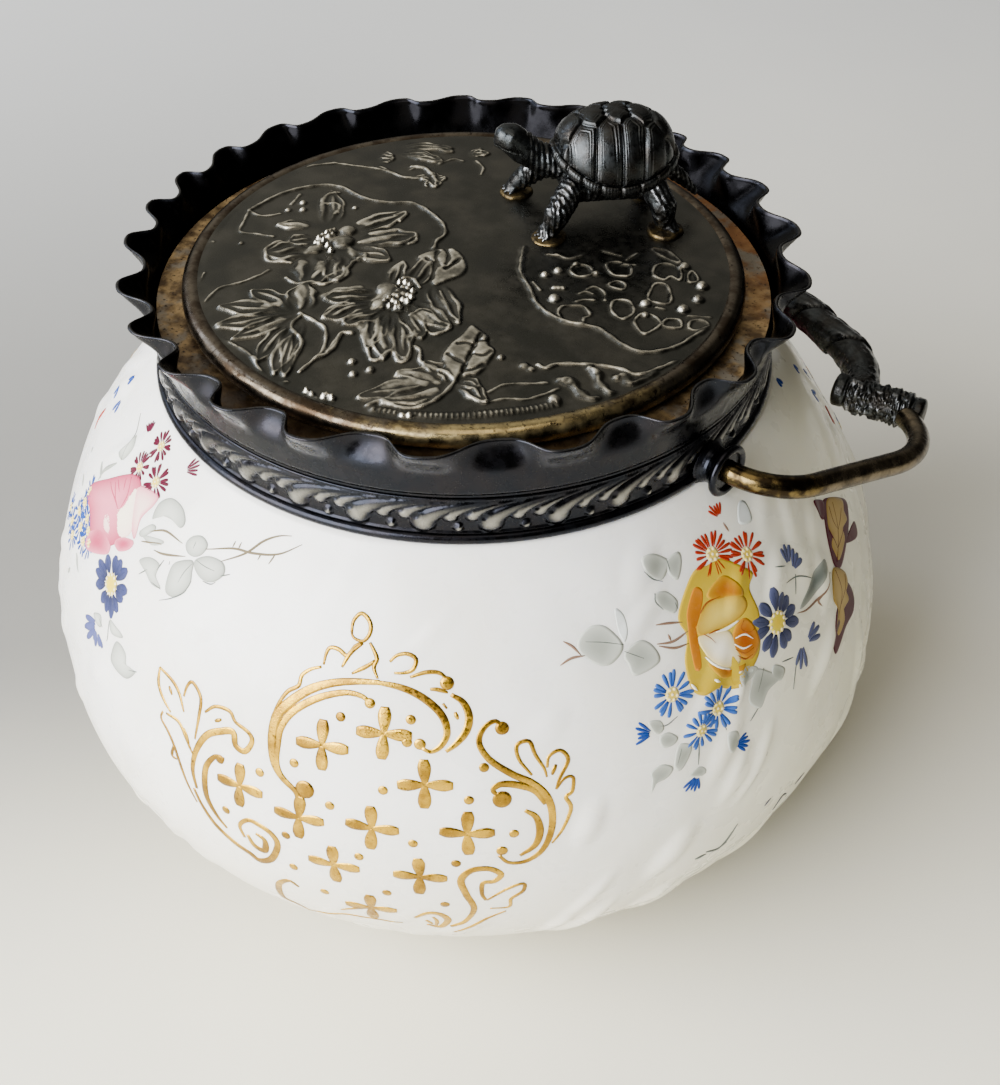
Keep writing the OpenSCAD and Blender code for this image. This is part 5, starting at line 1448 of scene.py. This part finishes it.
def on_turtle(points):
    """Places on the lid, in millimetres, of points in the turtle's own frame."""
    p = np.asarray(points, float)
    c, s = math.cos(HEADING), math.sin(HEADING)
    out = PLATE_R - TURTLE_INSET
    x = out * math.cos(TURTLE_TURN) + p[..., 0] * c - p[..., 1] * s
    y = out * math.sin(TURTLE_TURN) + p[..., 0] * s + p[..., 1] * c
    return np.stack([x, y, p[..., 2] + PLATE_TOP + 0.2], -1)


def push(grid, height):
    """Moves the points of a grid whose rows are closed along its outward direction."""
    along = np.gradient(grid, axis=0)
    beyond = np.concatenate([grid[:, -1:], grid, grid[:, :1]], 1)
    out = np.cross((beyond[:, 2:] - beyond[:, :-2]) / 2, along)
    out /= np.linalg.norm(out, axis=-1, keepdims=True) + 1e-9
    return grid + out * height[..., None]


def spine(i):
    return SHELL_SHIFT + SCUTE_L * (i - 2.5)


def scute_gap(x, y):
    """Distance to the nearest seam between scutes, seen from above."""
    y = np.abs(y)
    seams = [[(spine(i), 0), (spine(i), SCUTE_IN)] for i in range(6)]
    for i in range(5):
        corner = (spine(i + 0.5), SCUTE_OUT)
        seams += [[(spine(i), SCUTE_IN), corner], [corner, (spine(i + 1), SCUTE_IN)],
                  [corner, (corner[0] + 0.25 * (i - 2), 12)]]
    best = np.full(x.shape, 1e9)
    for a, b in np.array(seams, float):
        d = b - a
        t = np.clip(((x - a[0]) * d[0] + (y - a[1]) * d[1]) / (d @ d), 0, 1)
        best = np.minimum(best, np.hypot(x - a[0] - t * d[0], y - a[1] - t * d[1]))
    return best


def rim_height(a):
    c = np.cos(a)
    return SHELL_RIM + np.where(c > 0, RIM_FORE, RIM_AFT) * c * c


def oval(a, share, z):
    return np.stack([SHELL_SHIFT + SHELL_L / 2 * share * np.cos(a),
                     SHELL_W / 2 * share * np.sin(a), z + 0 * a], -1)


def make_shell(material):
    b = around(SHELL_COLS)
    a, rise = np.meshgrid(b, np.radians(np.linspace(0, 89, DOME_ROWS)))
    low = rim_height(a) + MARGINAL_H
    dome = oval(a, 0.94 * np.cos(rise) ** 0.8, low + (SHELL_TOP - low) * np.sin(rise))
    seam = scute_gap(dome[..., 0] + 0.25 * np.sin(9 * a), dome[..., 1])
    gap = np.minimum(seam, 12 * rise)
    rings = np.sin(TURN * seam / 0.5) * ramp(seam, 0.3, 0.55) * (1 - ramp(seam, 1.1, 1.9))
    cushion = 0.42 * (1 - np.exp(-gap / 0.8)) - 0.42 * np.exp(-(gap / 0.3) ** 2)
    side = ramp(np.abs(dome[..., 1]), 3.0, 5.0)
    dome = push(dome, cushion + (0.03 + 0.05 * side) * rings * ramp(rise, 0.25, 0.6))

    share = np.array([0.80, 0.86, 0.95, 0.985, 1.0, 1.012, 1.012, 1.0, 0.975, 0.95])
    lift = np.array([0.5, 0.3, -0.05, 0.0, 0.25, 0.7, 1.2, 1.7, 2.0, 2.05])
    spans, lifts = [np.interp(np.linspace(0, 9, BAND_ROWS), range(10), v) for v in (share, lift)]
    phase = np.abs((b * MARGINALS / TURN + 0.5) % 1 - 0.5) * 3.65
    seam = np.exp(-(phase / 0.27) ** 2)
    band = np.stack([oval(b, s, rim_height(b) + h) for s, h in zip(spans, lifts)])
    outer = ramp(spans, 0.93, 1.0)[:, None]
    cushion = (0.16 * (1 - np.exp(-phase / 0.7)) - 0.36 * seam) * outer
    lines = 0.035 * np.sin(TURN * phase / 0.55) * ramp(phase, 0.3, 0.5)
    band = push(band, cushion + lines * outer)
    under = np.stack([oval(b, s, rim_height(b) * (s / 0.8) + (1 - s / 0.8) * 6.5 + 0.5)
                      for s in (0.2, 0.45, 0.7)])
    rows = np.concatenate([under, band, dome])
    points = np.vstack([rows.reshape(-1, 3), [[SHELL_SHIFT, 0, 6.8], dome[-1].mean(0)]])
    worn = np.concatenate([np.zeros(under[..., 0].size), (outer * (1 - seam) * 0.4).ravel(),
                           (0.35 + 0.5 * rings * side).ravel(), [0, 0.35]])
    faces = [face[::-1] for face in capped_grid(len(rows), SHELL_COLS)]
    make_piece("shell", on_turtle(points), faces, material, "lid", worn,
               replaces=["turtle_shell"])


def chain(stops, step=0.22):
    """Balls along a line of (place, radius) stops, close enough to make a smooth limb."""
    balls = []
    for (p, r), (q, s) in zip(stops[:-1], stops[1:]):
        p, q = np.array(p, float), np.array(q, float)
        n = max(2, int(np.linalg.norm(q - p) / (step * min(r, s))) + 1)
        balls += [(p + (q - p) * t, r + (s - r) * t) for t in np.linspace(0, 1, n)]
    return balls


def melt(balls, voxel=0.25, rounds=4):
    """One skin round many balls: its points, their normals and its faces."""
    work = bmesh.new()
    bmesh.ops.create_icosphere(work, subdivisions=3, radius=1)
    ball = np.array([vertex.co for vertex in work.verts])
    sides = np.array([[vertex.index for vertex in face.verts] for face in work.faces])
    work.free()
    mesh = bpy.data.meshes.new("balls")
    skins = np.vstack([ball * radius + place for place, radius in balls])
    shells = np.vstack([sides + i * len(ball) for i in range(len(balls))])
    mesh.from_pydata(skins.tolist(), [], shells.tolist())
    lump = link(bpy.data.objects.new("balls", mesh))
    remesh = lump.modifiers.new("remesh", "REMESH")
    remesh.mode, remesh.voxel_size = "VOXEL", voxel
    relax = lump.modifiers.new("relax", "SMOOTH")
    relax.factor, relax.iterations = 0.5, rounds
    ready = lump.evaluated_get(bpy.context.evaluated_depsgraph_get()).to_mesh()
    points, normals = np.empty((2, len(ready.vertices) * 3))
    ready.vertices.foreach_get("co", points)
    ready.vertices.foreach_get("normal", normals)
    faces = [tuple(face.vertices) for face in ready.polygons]
    bpy.data.objects.remove(lump)
    bpy.data.meshes.remove(mesh)
    return points.reshape(-1, 3), normals.reshape(-1, 3), faces


def leg_balls(hip, foot):
    """A stout leg with a bent knee, a broad foot and five claws."""
    out, fore = np.sign(foot[1]), np.sign(foot[0])
    knee = ((hip[0] + foot[0]) / 2 + 0.6 * fore, hip[1] + 2.4 * out, 5.4)
    ankle = (foot[0] - 0.3 * fore, foot[1] - 0.2 * out, 2.1)
    balls = chain([((hip[0], hip[1], HIP_Z), 2.6), (knee, 2.5), (ankle, 1.95)])
    balls += chain([(ankle, 1.9), ((foot[0] + 0.8 * fore, foot[1], 1.0), 1.5)])
    for a in TOE_TURNS:
        root = (foot[0] + 0.6 * fore * math.cos(a), foot[1] + 1.2 * math.sin(a), 1.0)
        tip = (foot[0] + 2.9 * fore * math.cos(a), foot[1] + 2.7 * math.sin(a), 0.35)
        balls += chain([(root, 0.85), (tip, 0.3)], 0.4)
    return balls


def make_turtle_body(material):
    balls = [ball for limb in LIMBS for ball in chain(limb)]
    for hip, foot in zip(HIPS, FEET):
        balls += leg_balls(hip, foot)
    points, normals, faces = melt(balls)
    x, y, z = points.T
    head = ramp(x, 15.5, 17.5)
    folds = (1 - head) * ramp(x, 9, 12) * np.sin(TURN * x / 1.1) * 0.16
    brow = 0.3 * np.exp(-((x - 19.4) ** 2 + (np.abs(y) - 2.1) ** 2 + (z - 18.6) ** 2) / 0.5)
    mouth = -0.22 * np.exp(-((z - 15.6 - 0.25 * (x - 19)) / 0.18) ** 2) * ramp(x, 17.6, 18.4)
    scales = 0.16 * np.abs(cloud(points, 0.95, 31)) + 0.07 * cloud(points, 0.45, 32)
    leg = (1 - head) * (1 - ramp(x, 11, 12) * (np.abs(y) < 3))
    ridges = 0.12 * np.sin(TURN * (x + y) / 1.3 + 2 * cloud(points, 2.5, 33)) * leg
    calm = ramp(z, 0.4, 1.6)
    height = (scales * (1 - 0.7 * head) + ridges) * calm + folds + brow + mouth
    points = points + normals * height[:, None]
    worn = 0.35 + 0.9 * leg * ramp(ridges + scales, 0.05, 0.24) + 0.3 * (1 - calm)
    make_piece("turtle", on_turtle(points), faces, material, "lid", worn,
               replaces=["turtle_body"])
    points, _, faces = melt(TURTLE_EYES, 0.12, 2)
    make_piece("eyes", on_turtle(points), faces, material, "lid",
               np.full(len(points), 0.7))


def make_solder(material):
    """An uneven puddle of solder round each foot."""
    points, faces = [], []
    a, share = np.meshgrid(around(SOLDER_COLS), np.linspace(0.08, 1, SOLDER_ROWS))
    x, y = np.cos(a), np.sin(a)
    for i, foot in enumerate(FEET):
        edge = 3.7 + 0.5 * cloud(np.stack([3 * x, 3 * y, 7 * i + 0 * a], -1), 2.0, 41)
        pits = np.stack([9 * share * x, 9 * share * y, 5 * i + 0 * a], -1)
        z = 0.62 * (1 - share ** 2.2) + 0.12 * cloud(pits, 2, 42)
        z = np.maximum(z, 0) * (share < 1) - 0.9 * (share == 1)
        ring = np.stack([foot[0] + edge * share * x, foot[1] + edge * share * y, z], -1)
        start = sum(len(p) for p in points)
        points += [ring[::-1].reshape(-1, 3), [[*foot, -0.9], [*foot, 0.65]]]
        faces += [tuple(v + start for v in face)
                  for face in capped_grid(SOLDER_ROWS, SOLDER_COLS)]
    make_piece("solder", on_turtle(np.vstack(points)), faces, material, "lid",
               replaces=["turtle_solder"])


# ---- Bail: rods, knots and a grip of twisted leaf sheaths ----

PIVOT_Z = (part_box("lug_wire_front")[0].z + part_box("lug_wire_front")[1].z) / 2 / MM
REST_DROP = math.radians(10.75)
MOUTH_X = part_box("handle_lug_front")[1].x / MM
ELBOW_X, ELBOW_R, ELBOW_TURN = MOUTH_X + 0.48, 13.0, math.radians(75)
SIDE_LENGTH, HOOK_R, HOOK_TURN = 20.0, 16.5, math.radians(78)
ROD_R, KNOT_R, KNOT_L, KNOT_SHIFT, KNOT_BOSS = 2.2, 3.6, 19.0, 3.5, 7.9
GRIP_BOW, GRIP_RISE, GRIP_R, SHEATH_L = 97.6, 45.8, 3.7, 15.0
ROD_SIDES, GRIP_SIDES, KNOT_SIDES, JOURNAL_L = 56, 96, 110, 3.2
WRIST_R, WRIST_DIR, KNOT_TURN = GRIP_BOW * 0.256, math.radians(60), math.radians(16)


def in_bail(points, mirror=1):
    """Places on the resting bail, in millimetres, of points in the bail's own plane."""
    p = np.asarray(points, float)
    c, s = math.cos(REST_DROP), math.sin(REST_DROP)
    return np.stack([mirror * p[..., 0], p[..., 1] * c + p[..., 2] * s,
                     PIVOT_Z - p[..., 1] * s + p[..., 2] * c], -1)


def bend(middle, radius, start, turn, step=0.35):
    """Points of an arc that leaves in direction start and turns left."""
    a = start + np.linspace(0, turn, max(2, int(radius * turn / step)))
    return np.stack([middle[0] + radius * np.sin(a), middle[1] - radius * np.cos(a)], -1)


def bail_line():
    """Middle line of one rod, and the middle of its hook's arc."""
    elbow = bend((ELBOW_X, ELBOW_R), ELBOW_R, 0.0, ELBOW_TURN)
    aim = np.array([math.cos(ELBOW_TURN), math.sin(ELBOW_TURN)])
    side_end = elbow[-1] + SIDE_LENGTH * aim
    middle = side_end + HOOK_R * np.array([-aim[1], aim[0]])
    hook = bend(middle, HOOK_R, ELBOW_TURN, HOOK_TURN)
    journal = [(x, 0.0) for x in np.linspace(ELBOW_X - 3.5, ELBOW_X, 8)]
    side = [elbow[-1] + aim * t for t in np.linspace(0.4, SIDE_LENGTH - 0.4, 50)]
    return np.vstack([journal, elbow[1:], side, hook]), middle


def sweep(line, radius):
    """Tube round a line in the bail's plane. The radius is a grid of rows by sides."""
    aim = np.gradient(line, axis=0)
    aim /= np.linalg.norm(aim, axis=1, keepdims=True)
    a = around(radius.shape[1])
    out = radius * np.cos(a)
    x = line[:, :1] + aim[:, 1:] * out
    y = line[:, 1:] - aim[:, :1] * out
    return np.stack([x, y, -radius * np.sin(a)], -1)


def closed_tube(grid, ends):
    return np.vstack([grid.reshape(-1, 3), ends]), capped_grid(*grid.shape[:2])


def on_tube(s, a, radius):
    """Places for noise on a straight tube, from distances along it and angles round it."""
    return np.stack([s, radius * np.cos(a), radius * np.sin(a)], -1)


def make_rods(material):
    line, _ = bail_line()
    s = np.concatenate([[0], np.cumsum(np.hypot(*np.diff(line, axis=0).T))])
    S, A = np.meshgrid(s, around(ROD_SIDES), indexing="ij")
    dents = 0.05 * cloud(on_tube(S, A, ROD_R), 5.0, 51)
    radius = ROD_R * (1 - 0.04 * (S < JOURNAL_L)) + dents
    points, faces = closed_tube(sweep(line, radius), [[*line[0], 0], [*line[-1], 0]])
    near_lug = np.repeat(1 - ramp(s, 10, 30), ROD_SIDES)
    for name, mirror in (("front", 1), ("rear", -1)):
        face_outwards(make_piece(f"rod_{name}", in_bail(points, mirror), faces, material,
                                 "bail", np.concatenate([near_lug, [1, 0]]),
                                 replaces=[f"bail_rod_{name}"]))


def grip_line():
    """Middle line of the grip with its directions, and the distance along it from its middle."""
    _, hook_mid = bail_line()
    centre = hook_mid[1] + GRIP_RISE - GRIP_BOW
    x = hook_mid[0] - HOOK_R * 0.39
    bow = math.asin((x - WRIST_R * math.sin(WRIST_DIR)) / (GRIP_BOW - WRIST_R))
    bow_l, wrist_l = GRIP_BOW * bow, WRIST_R * (WRIST_DIR - bow)
    end = np.array([GRIP_BOW * math.sin(bow), centre + GRIP_BOW * math.cos(bow)])
    wrist = end - WRIST_R * np.array([math.sin(bow), math.cos(bow)])
    s = np.linspace(-bow_l - wrist_l, bow_l + wrist_l, 620)
    d = np.where(np.abs(s) <= bow_l, s / GRIP_BOW,
                 np.sign(s) * (bow + (np.abs(s) - bow_l) / WRIST_R))
    on_bow = np.stack([GRIP_BOW * np.sin(d), centre + GRIP_BOW * np.cos(d)], -1)
    on_wrist = np.stack([np.sign(s) * wrist[0] + WRIST_R * np.sin(d),
                         wrist[1] + WRIST_R * np.cos(d)], -1)
    return np.where((np.abs(s) <= bow_l)[:, None], on_bow, on_wrist), d, s


def make_grip(material):
    """Leaf sheaths wind round the grip, each one thicker than the tip of the last."""
    line, turn, s = grip_line()
    a = around(GRIP_SIDES)
    S, A = np.meshgrid(s, a, indexing="ij")
    part = (np.abs(S) / SHEATH_L + A / TURN) % 1
    fade = np.minimum(1, (s[-1] - np.abs(S)) / 5)
    lip = ramp(part, 0.0, 0.05) * (0.30 + 0.70 * ramp(part, 0.05, 1.0)) - 0.25 * ramp(part, 0.9, 1)
    fibre = np.cos(A * 9 + 5.5 * part) * 0.5 + np.cos(A * 17 + 8 * part + 1) * 0.3
    where = on_tube(S, A, GRIP_R)
    bark = 0.5 * cloud(where, 3.0, 61) + 0.25 * cloud(where, 1.1, 62)
    strands = 0.13 * fibre * ramp(part, 0.05, 0.3)
    radius = GRIP_R * (0.90 + 0.22 * lip * fade) + strands + 0.28 * bark
    out = np.stack([np.sin(turn), np.cos(turn)], -1)[:, None, :]
    plane = line[:, None, :] + out * (radius * np.cos(a))[..., None]
    grid = np.concatenate([plane, (radius * np.sin(a))[..., None]], -1)
    points, faces = closed_tube(grid, [[*line[0], 0], [*line[-1], 0]])
    worn = np.concatenate([(0.25 + 0.5 * ramp(part, 0.75, 0.98) + 0.2 * fibre).ravel(), [0, 0]])
    face_outwards(make_piece("grip", in_bail(points), faces, material, "bail",
                             worn, replaces=["bail_grip"]))
    return line


def stub(middle, direction, start, end, radius_at_share, seed, step=0.16):
    """A bark-covered cylinder in the bail's plane with rounded ends."""
    t = np.linspace(start, end, int((end - start) / step))
    T, A = np.meshgrid(t, around(KNOT_SIDES), indexing="ij")
    where = on_tube(T * 1.7, A, KNOT_R)
    spindles = np.abs(cloud(where, 1.5, seed))
    base, rough = radius_at_share((T - start) / (end - start))
    radius = base + rough * (0.9 * spindles - 0.2 + 0.25 * cloud(where, 0.6, seed + 1))
    c, s = math.cos(direction), math.sin(direction)
    across = radius * np.cos(A)
    grid = np.stack([middle[0] + T * c - across * s, middle[1] + T * s + across * c,
                     radius * np.sin(A)], -1)
    ends = [[middle[0] + q * c, middle[1] + q * s, 0] for q in (start, end)]
    points, faces = closed_tube(grid, ends)
    worn = np.concatenate([(0.15 + rough * spindles * 1.2).ravel(), [0.2, 0.2]])
    return points, faces, worn


def log_profile(share):
    """Radius and roughness along a knot: smooth stub ends and a thick, rough middle."""
    near_end = (1 - np.minimum(share, 1 - share) / 0.06).clip(0, 1)
    round_off = np.sqrt((1 - near_end ** 2.5).clip(0, 1))
    middle = ramp(share, 0.14, 0.2) * (1 - ramp(share, 0.82, 0.88))
    groove = np.exp(-((share - 0.155) / 0.018) ** 2) + np.exp(-((share - 0.865) / 0.018) ** 2)
    return KNOT_R * (0.25 + 0.69 * round_off) + 0.12 * middle - 0.35 * groove, 0.12 + 0.75 * middle


def boss_profile(share):
    return KNOT_R * (1.0 - 0.06 * share) + 0 * share, 0.45 + 0 * share


def make_knots(material, grip_points):
    away = np.array([math.cos(WRIST_DIR), -math.sin(WRIST_DIR)])
    middle = grip_points[-1] + KNOT_BOSS * away
    for name, mirror, seed in (("front", 1, 71), ("rear", -1, 81)):
        log = stub(middle, KNOT_TURN, KNOT_SHIFT - KNOT_L / 2, KNOT_SHIFT + KNOT_L / 2,
                   log_profile, seed)
        boss = stub(middle, math.pi - WRIST_DIR, 0.5, KNOT_BOSS + 0.6, boss_profile, seed + 3)
        points = np.vstack([log[0], boss[0]])
        faces = log[1] + [tuple(v + len(log[0]) for v in face) for face in boss[1]]
        worn = np.concatenate([log[2], boss[2]])
        face_outwards(make_piece(f"knot_{name}", in_bail(points, mirror), faces, material,
                                 "bail", worn, replaces=[f"bail_knot_{name}"]))


# ---- Stage ----

# Floor colours are painted light: a bright near side, a dark left, a light right that lifts the
# jar's cast shadow, and a paler far side.
FLOOR_NEAR, FLOOR_LEFT, FLOOR_RIGHT, FLOOR_FAR = "f5f2e0", "807f7b", "e0ddd0", "cfd0cf"
FLOOR_HALF = 3.0
SKY_DIM, SKY_SEEN = 0.06, 0.62
SKY_TINT, SEEN_TINT = (1.0, 0.96, 0.84), (1.0, 1.0, 0.98)
# Brighter parts of the room: turn, rise, cosine of the edge, strength
SKY_GLOWS = [(150, 35, 0.55, 0.6), (95, 45, 0.72, 0.45)]
# Name, turn, rise, distance, width, height, power, colour
LAMPS = [("key", -148, 25, 1.15, 1.4, 1.0, 72.0, "ffffff"),
    ("over", -100, 75, 1.1, 0.7, 0.7, 2.5, "fff4e0"),
    ("window", 150, 32, 1.3, 0.35, 0.8, 4.5, "dce9ff")]
LAMP_AIM = np.array([0, 0, 0.07])


def toward(turn, rise):
    """Direction that is turn degrees anticlockwise from the picture's right, seen from above."""
    a, e = VIEW_TURN + math.radians(turn), math.radians(rise)
    return np.array([math.cos(a) * math.cos(e), math.sin(a) * math.cos(e), math.sin(e)])


def make_floor():
    """A pale floor whose colour holds painted light: lighter towards the near and far sides,
    darker on the left, and lighter on the right, where it lifts the jar's cast shadow.
    """
    f = Finish("floor")
    turned = f.node("Mapping", 0, {"Vector": f.place, "Rotation": (0, 0, -VIEW_TURN)})
    x, y = [f.node("SeparateXYZ", axis, {0: turned}) for axis in "XY"]
    # Painted light: the floor is darker on the left and lighter on the right, where the jar's
    # shadow falls, and lighter near and far.
    sides = f.mix(f.span(x, -0.1, 0.15), FLOOR_LEFT, FLOOR_RIGHT)
    tone = f.mix(f.span(y, 0.05, 0.5), sides, FLOOR_FAR)
    tone = f.mix(f.span(y, 0.03, -0.12), tone, FLOOR_NEAR)
    f.set(Base_Color=f.mix(f.span(f.noise(60, 2.0), 0.3, 0.7, 0.0, 0.05), tone, "a8a6a4"),
          Roughness=0.75)
    mesh = bpy.data.meshes.new("floor")
    corners = [(-1, -1), (1, -1), (1, 1), (-1, 1)]
    mesh.from_pydata([(FLOOR_HALF * a, FLOOR_HALF * b, 0) for a, b in corners], [],
                     [(0, 1, 2, 3)])
    mesh.materials.append(f.material)
    floor = link(bpy.data.objects.new("floor", mesh))


def make_sky():
    """A dim room with brighter sides, as polished metal shows it. Seen directly, it is pale."""
    world = bpy.data.worlds.new("sky")
    bpy.context.scene.world = world
    world.use_nodes = True
    n = Nodes(world.node_tree, "Generated")
    total = SKY_DIM
    for turn, rise, edge, glow in SKY_GLOWS:
        total = n.math("ADD", n.span(n.along(turn, rise), edge, 1.0, 0.0, glow), total)
    dim = n.node("Background", 0, {"Color": SKY_TINT, "Strength": total})
    pale = n.node("Background", 0, {"Color": SEEN_TINT, "Strength": SKY_SEEN})
    seen = n.node("LightPath", "Is Camera Ray")
    n.put(n.tree.nodes["World Output"].inputs["Surface"],
          n.node("MixShader", 0, {0: seen, 1: dim, 2: pale}))


def make_lamps():
    for name, turn, rise, far, wide, tall, power, colour in LAMPS:
        data = bpy.data.lights.new(name, "AREA")
        data.color = linear(colour)
        data.shape, data.size, data.size_y, data.energy = "RECTANGLE", wide, tall, power
        aim, side = toward(turn, rise), toward(turn + 90, 0)
        columns = np.array([side, np.cross(aim, side), aim, aim * far + LAMP_AIM])
        lamp = link(bpy.data.objects.new(name, data))
        lamp.matrix_world = Matrix(columns.T.tolist() + [[0, 0, 0, 1]])


def dress(material, slot, *nodes):
    """CAD nodes whose shape is right take a finish as they are."""
    for name in nodes:
        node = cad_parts[name]
        node.data.materials.clear()
        node.data.materials.append(material)


make_camera()
make_floor()
make_sky()
make_lamps()
PLATE, CAST, BARK = dark_silver(), cast_metal("cast_pewter"), cast_metal("cast_bark")
make_bowl(opal_glass())
make_painting(enamel(), gilding())
dress(plaster(), "plaster", "plaster_seal")
make_strip(PLATE)
make_frill(PLATE)
make_lid(pewter_lid())
make_shell(CAST)
make_turtle_body(CAST)
make_solder(solder_metal())
make_rods(worn_rod())
make_knots(BARK, make_grip(BARK))
dress(PLATE, "oxidised_plate", "collar_wall", "collar_foot_bead", "handle_lug_front",
      "handle_lug_rear", "lug_wire_front", "lug_wire_rear")
dress(worn_seat(), "worn_seat_plate", "seat_ring")
dress(tarnished_brass(), "tarnished_brass", "lid_rim_bead", "lid_flange")
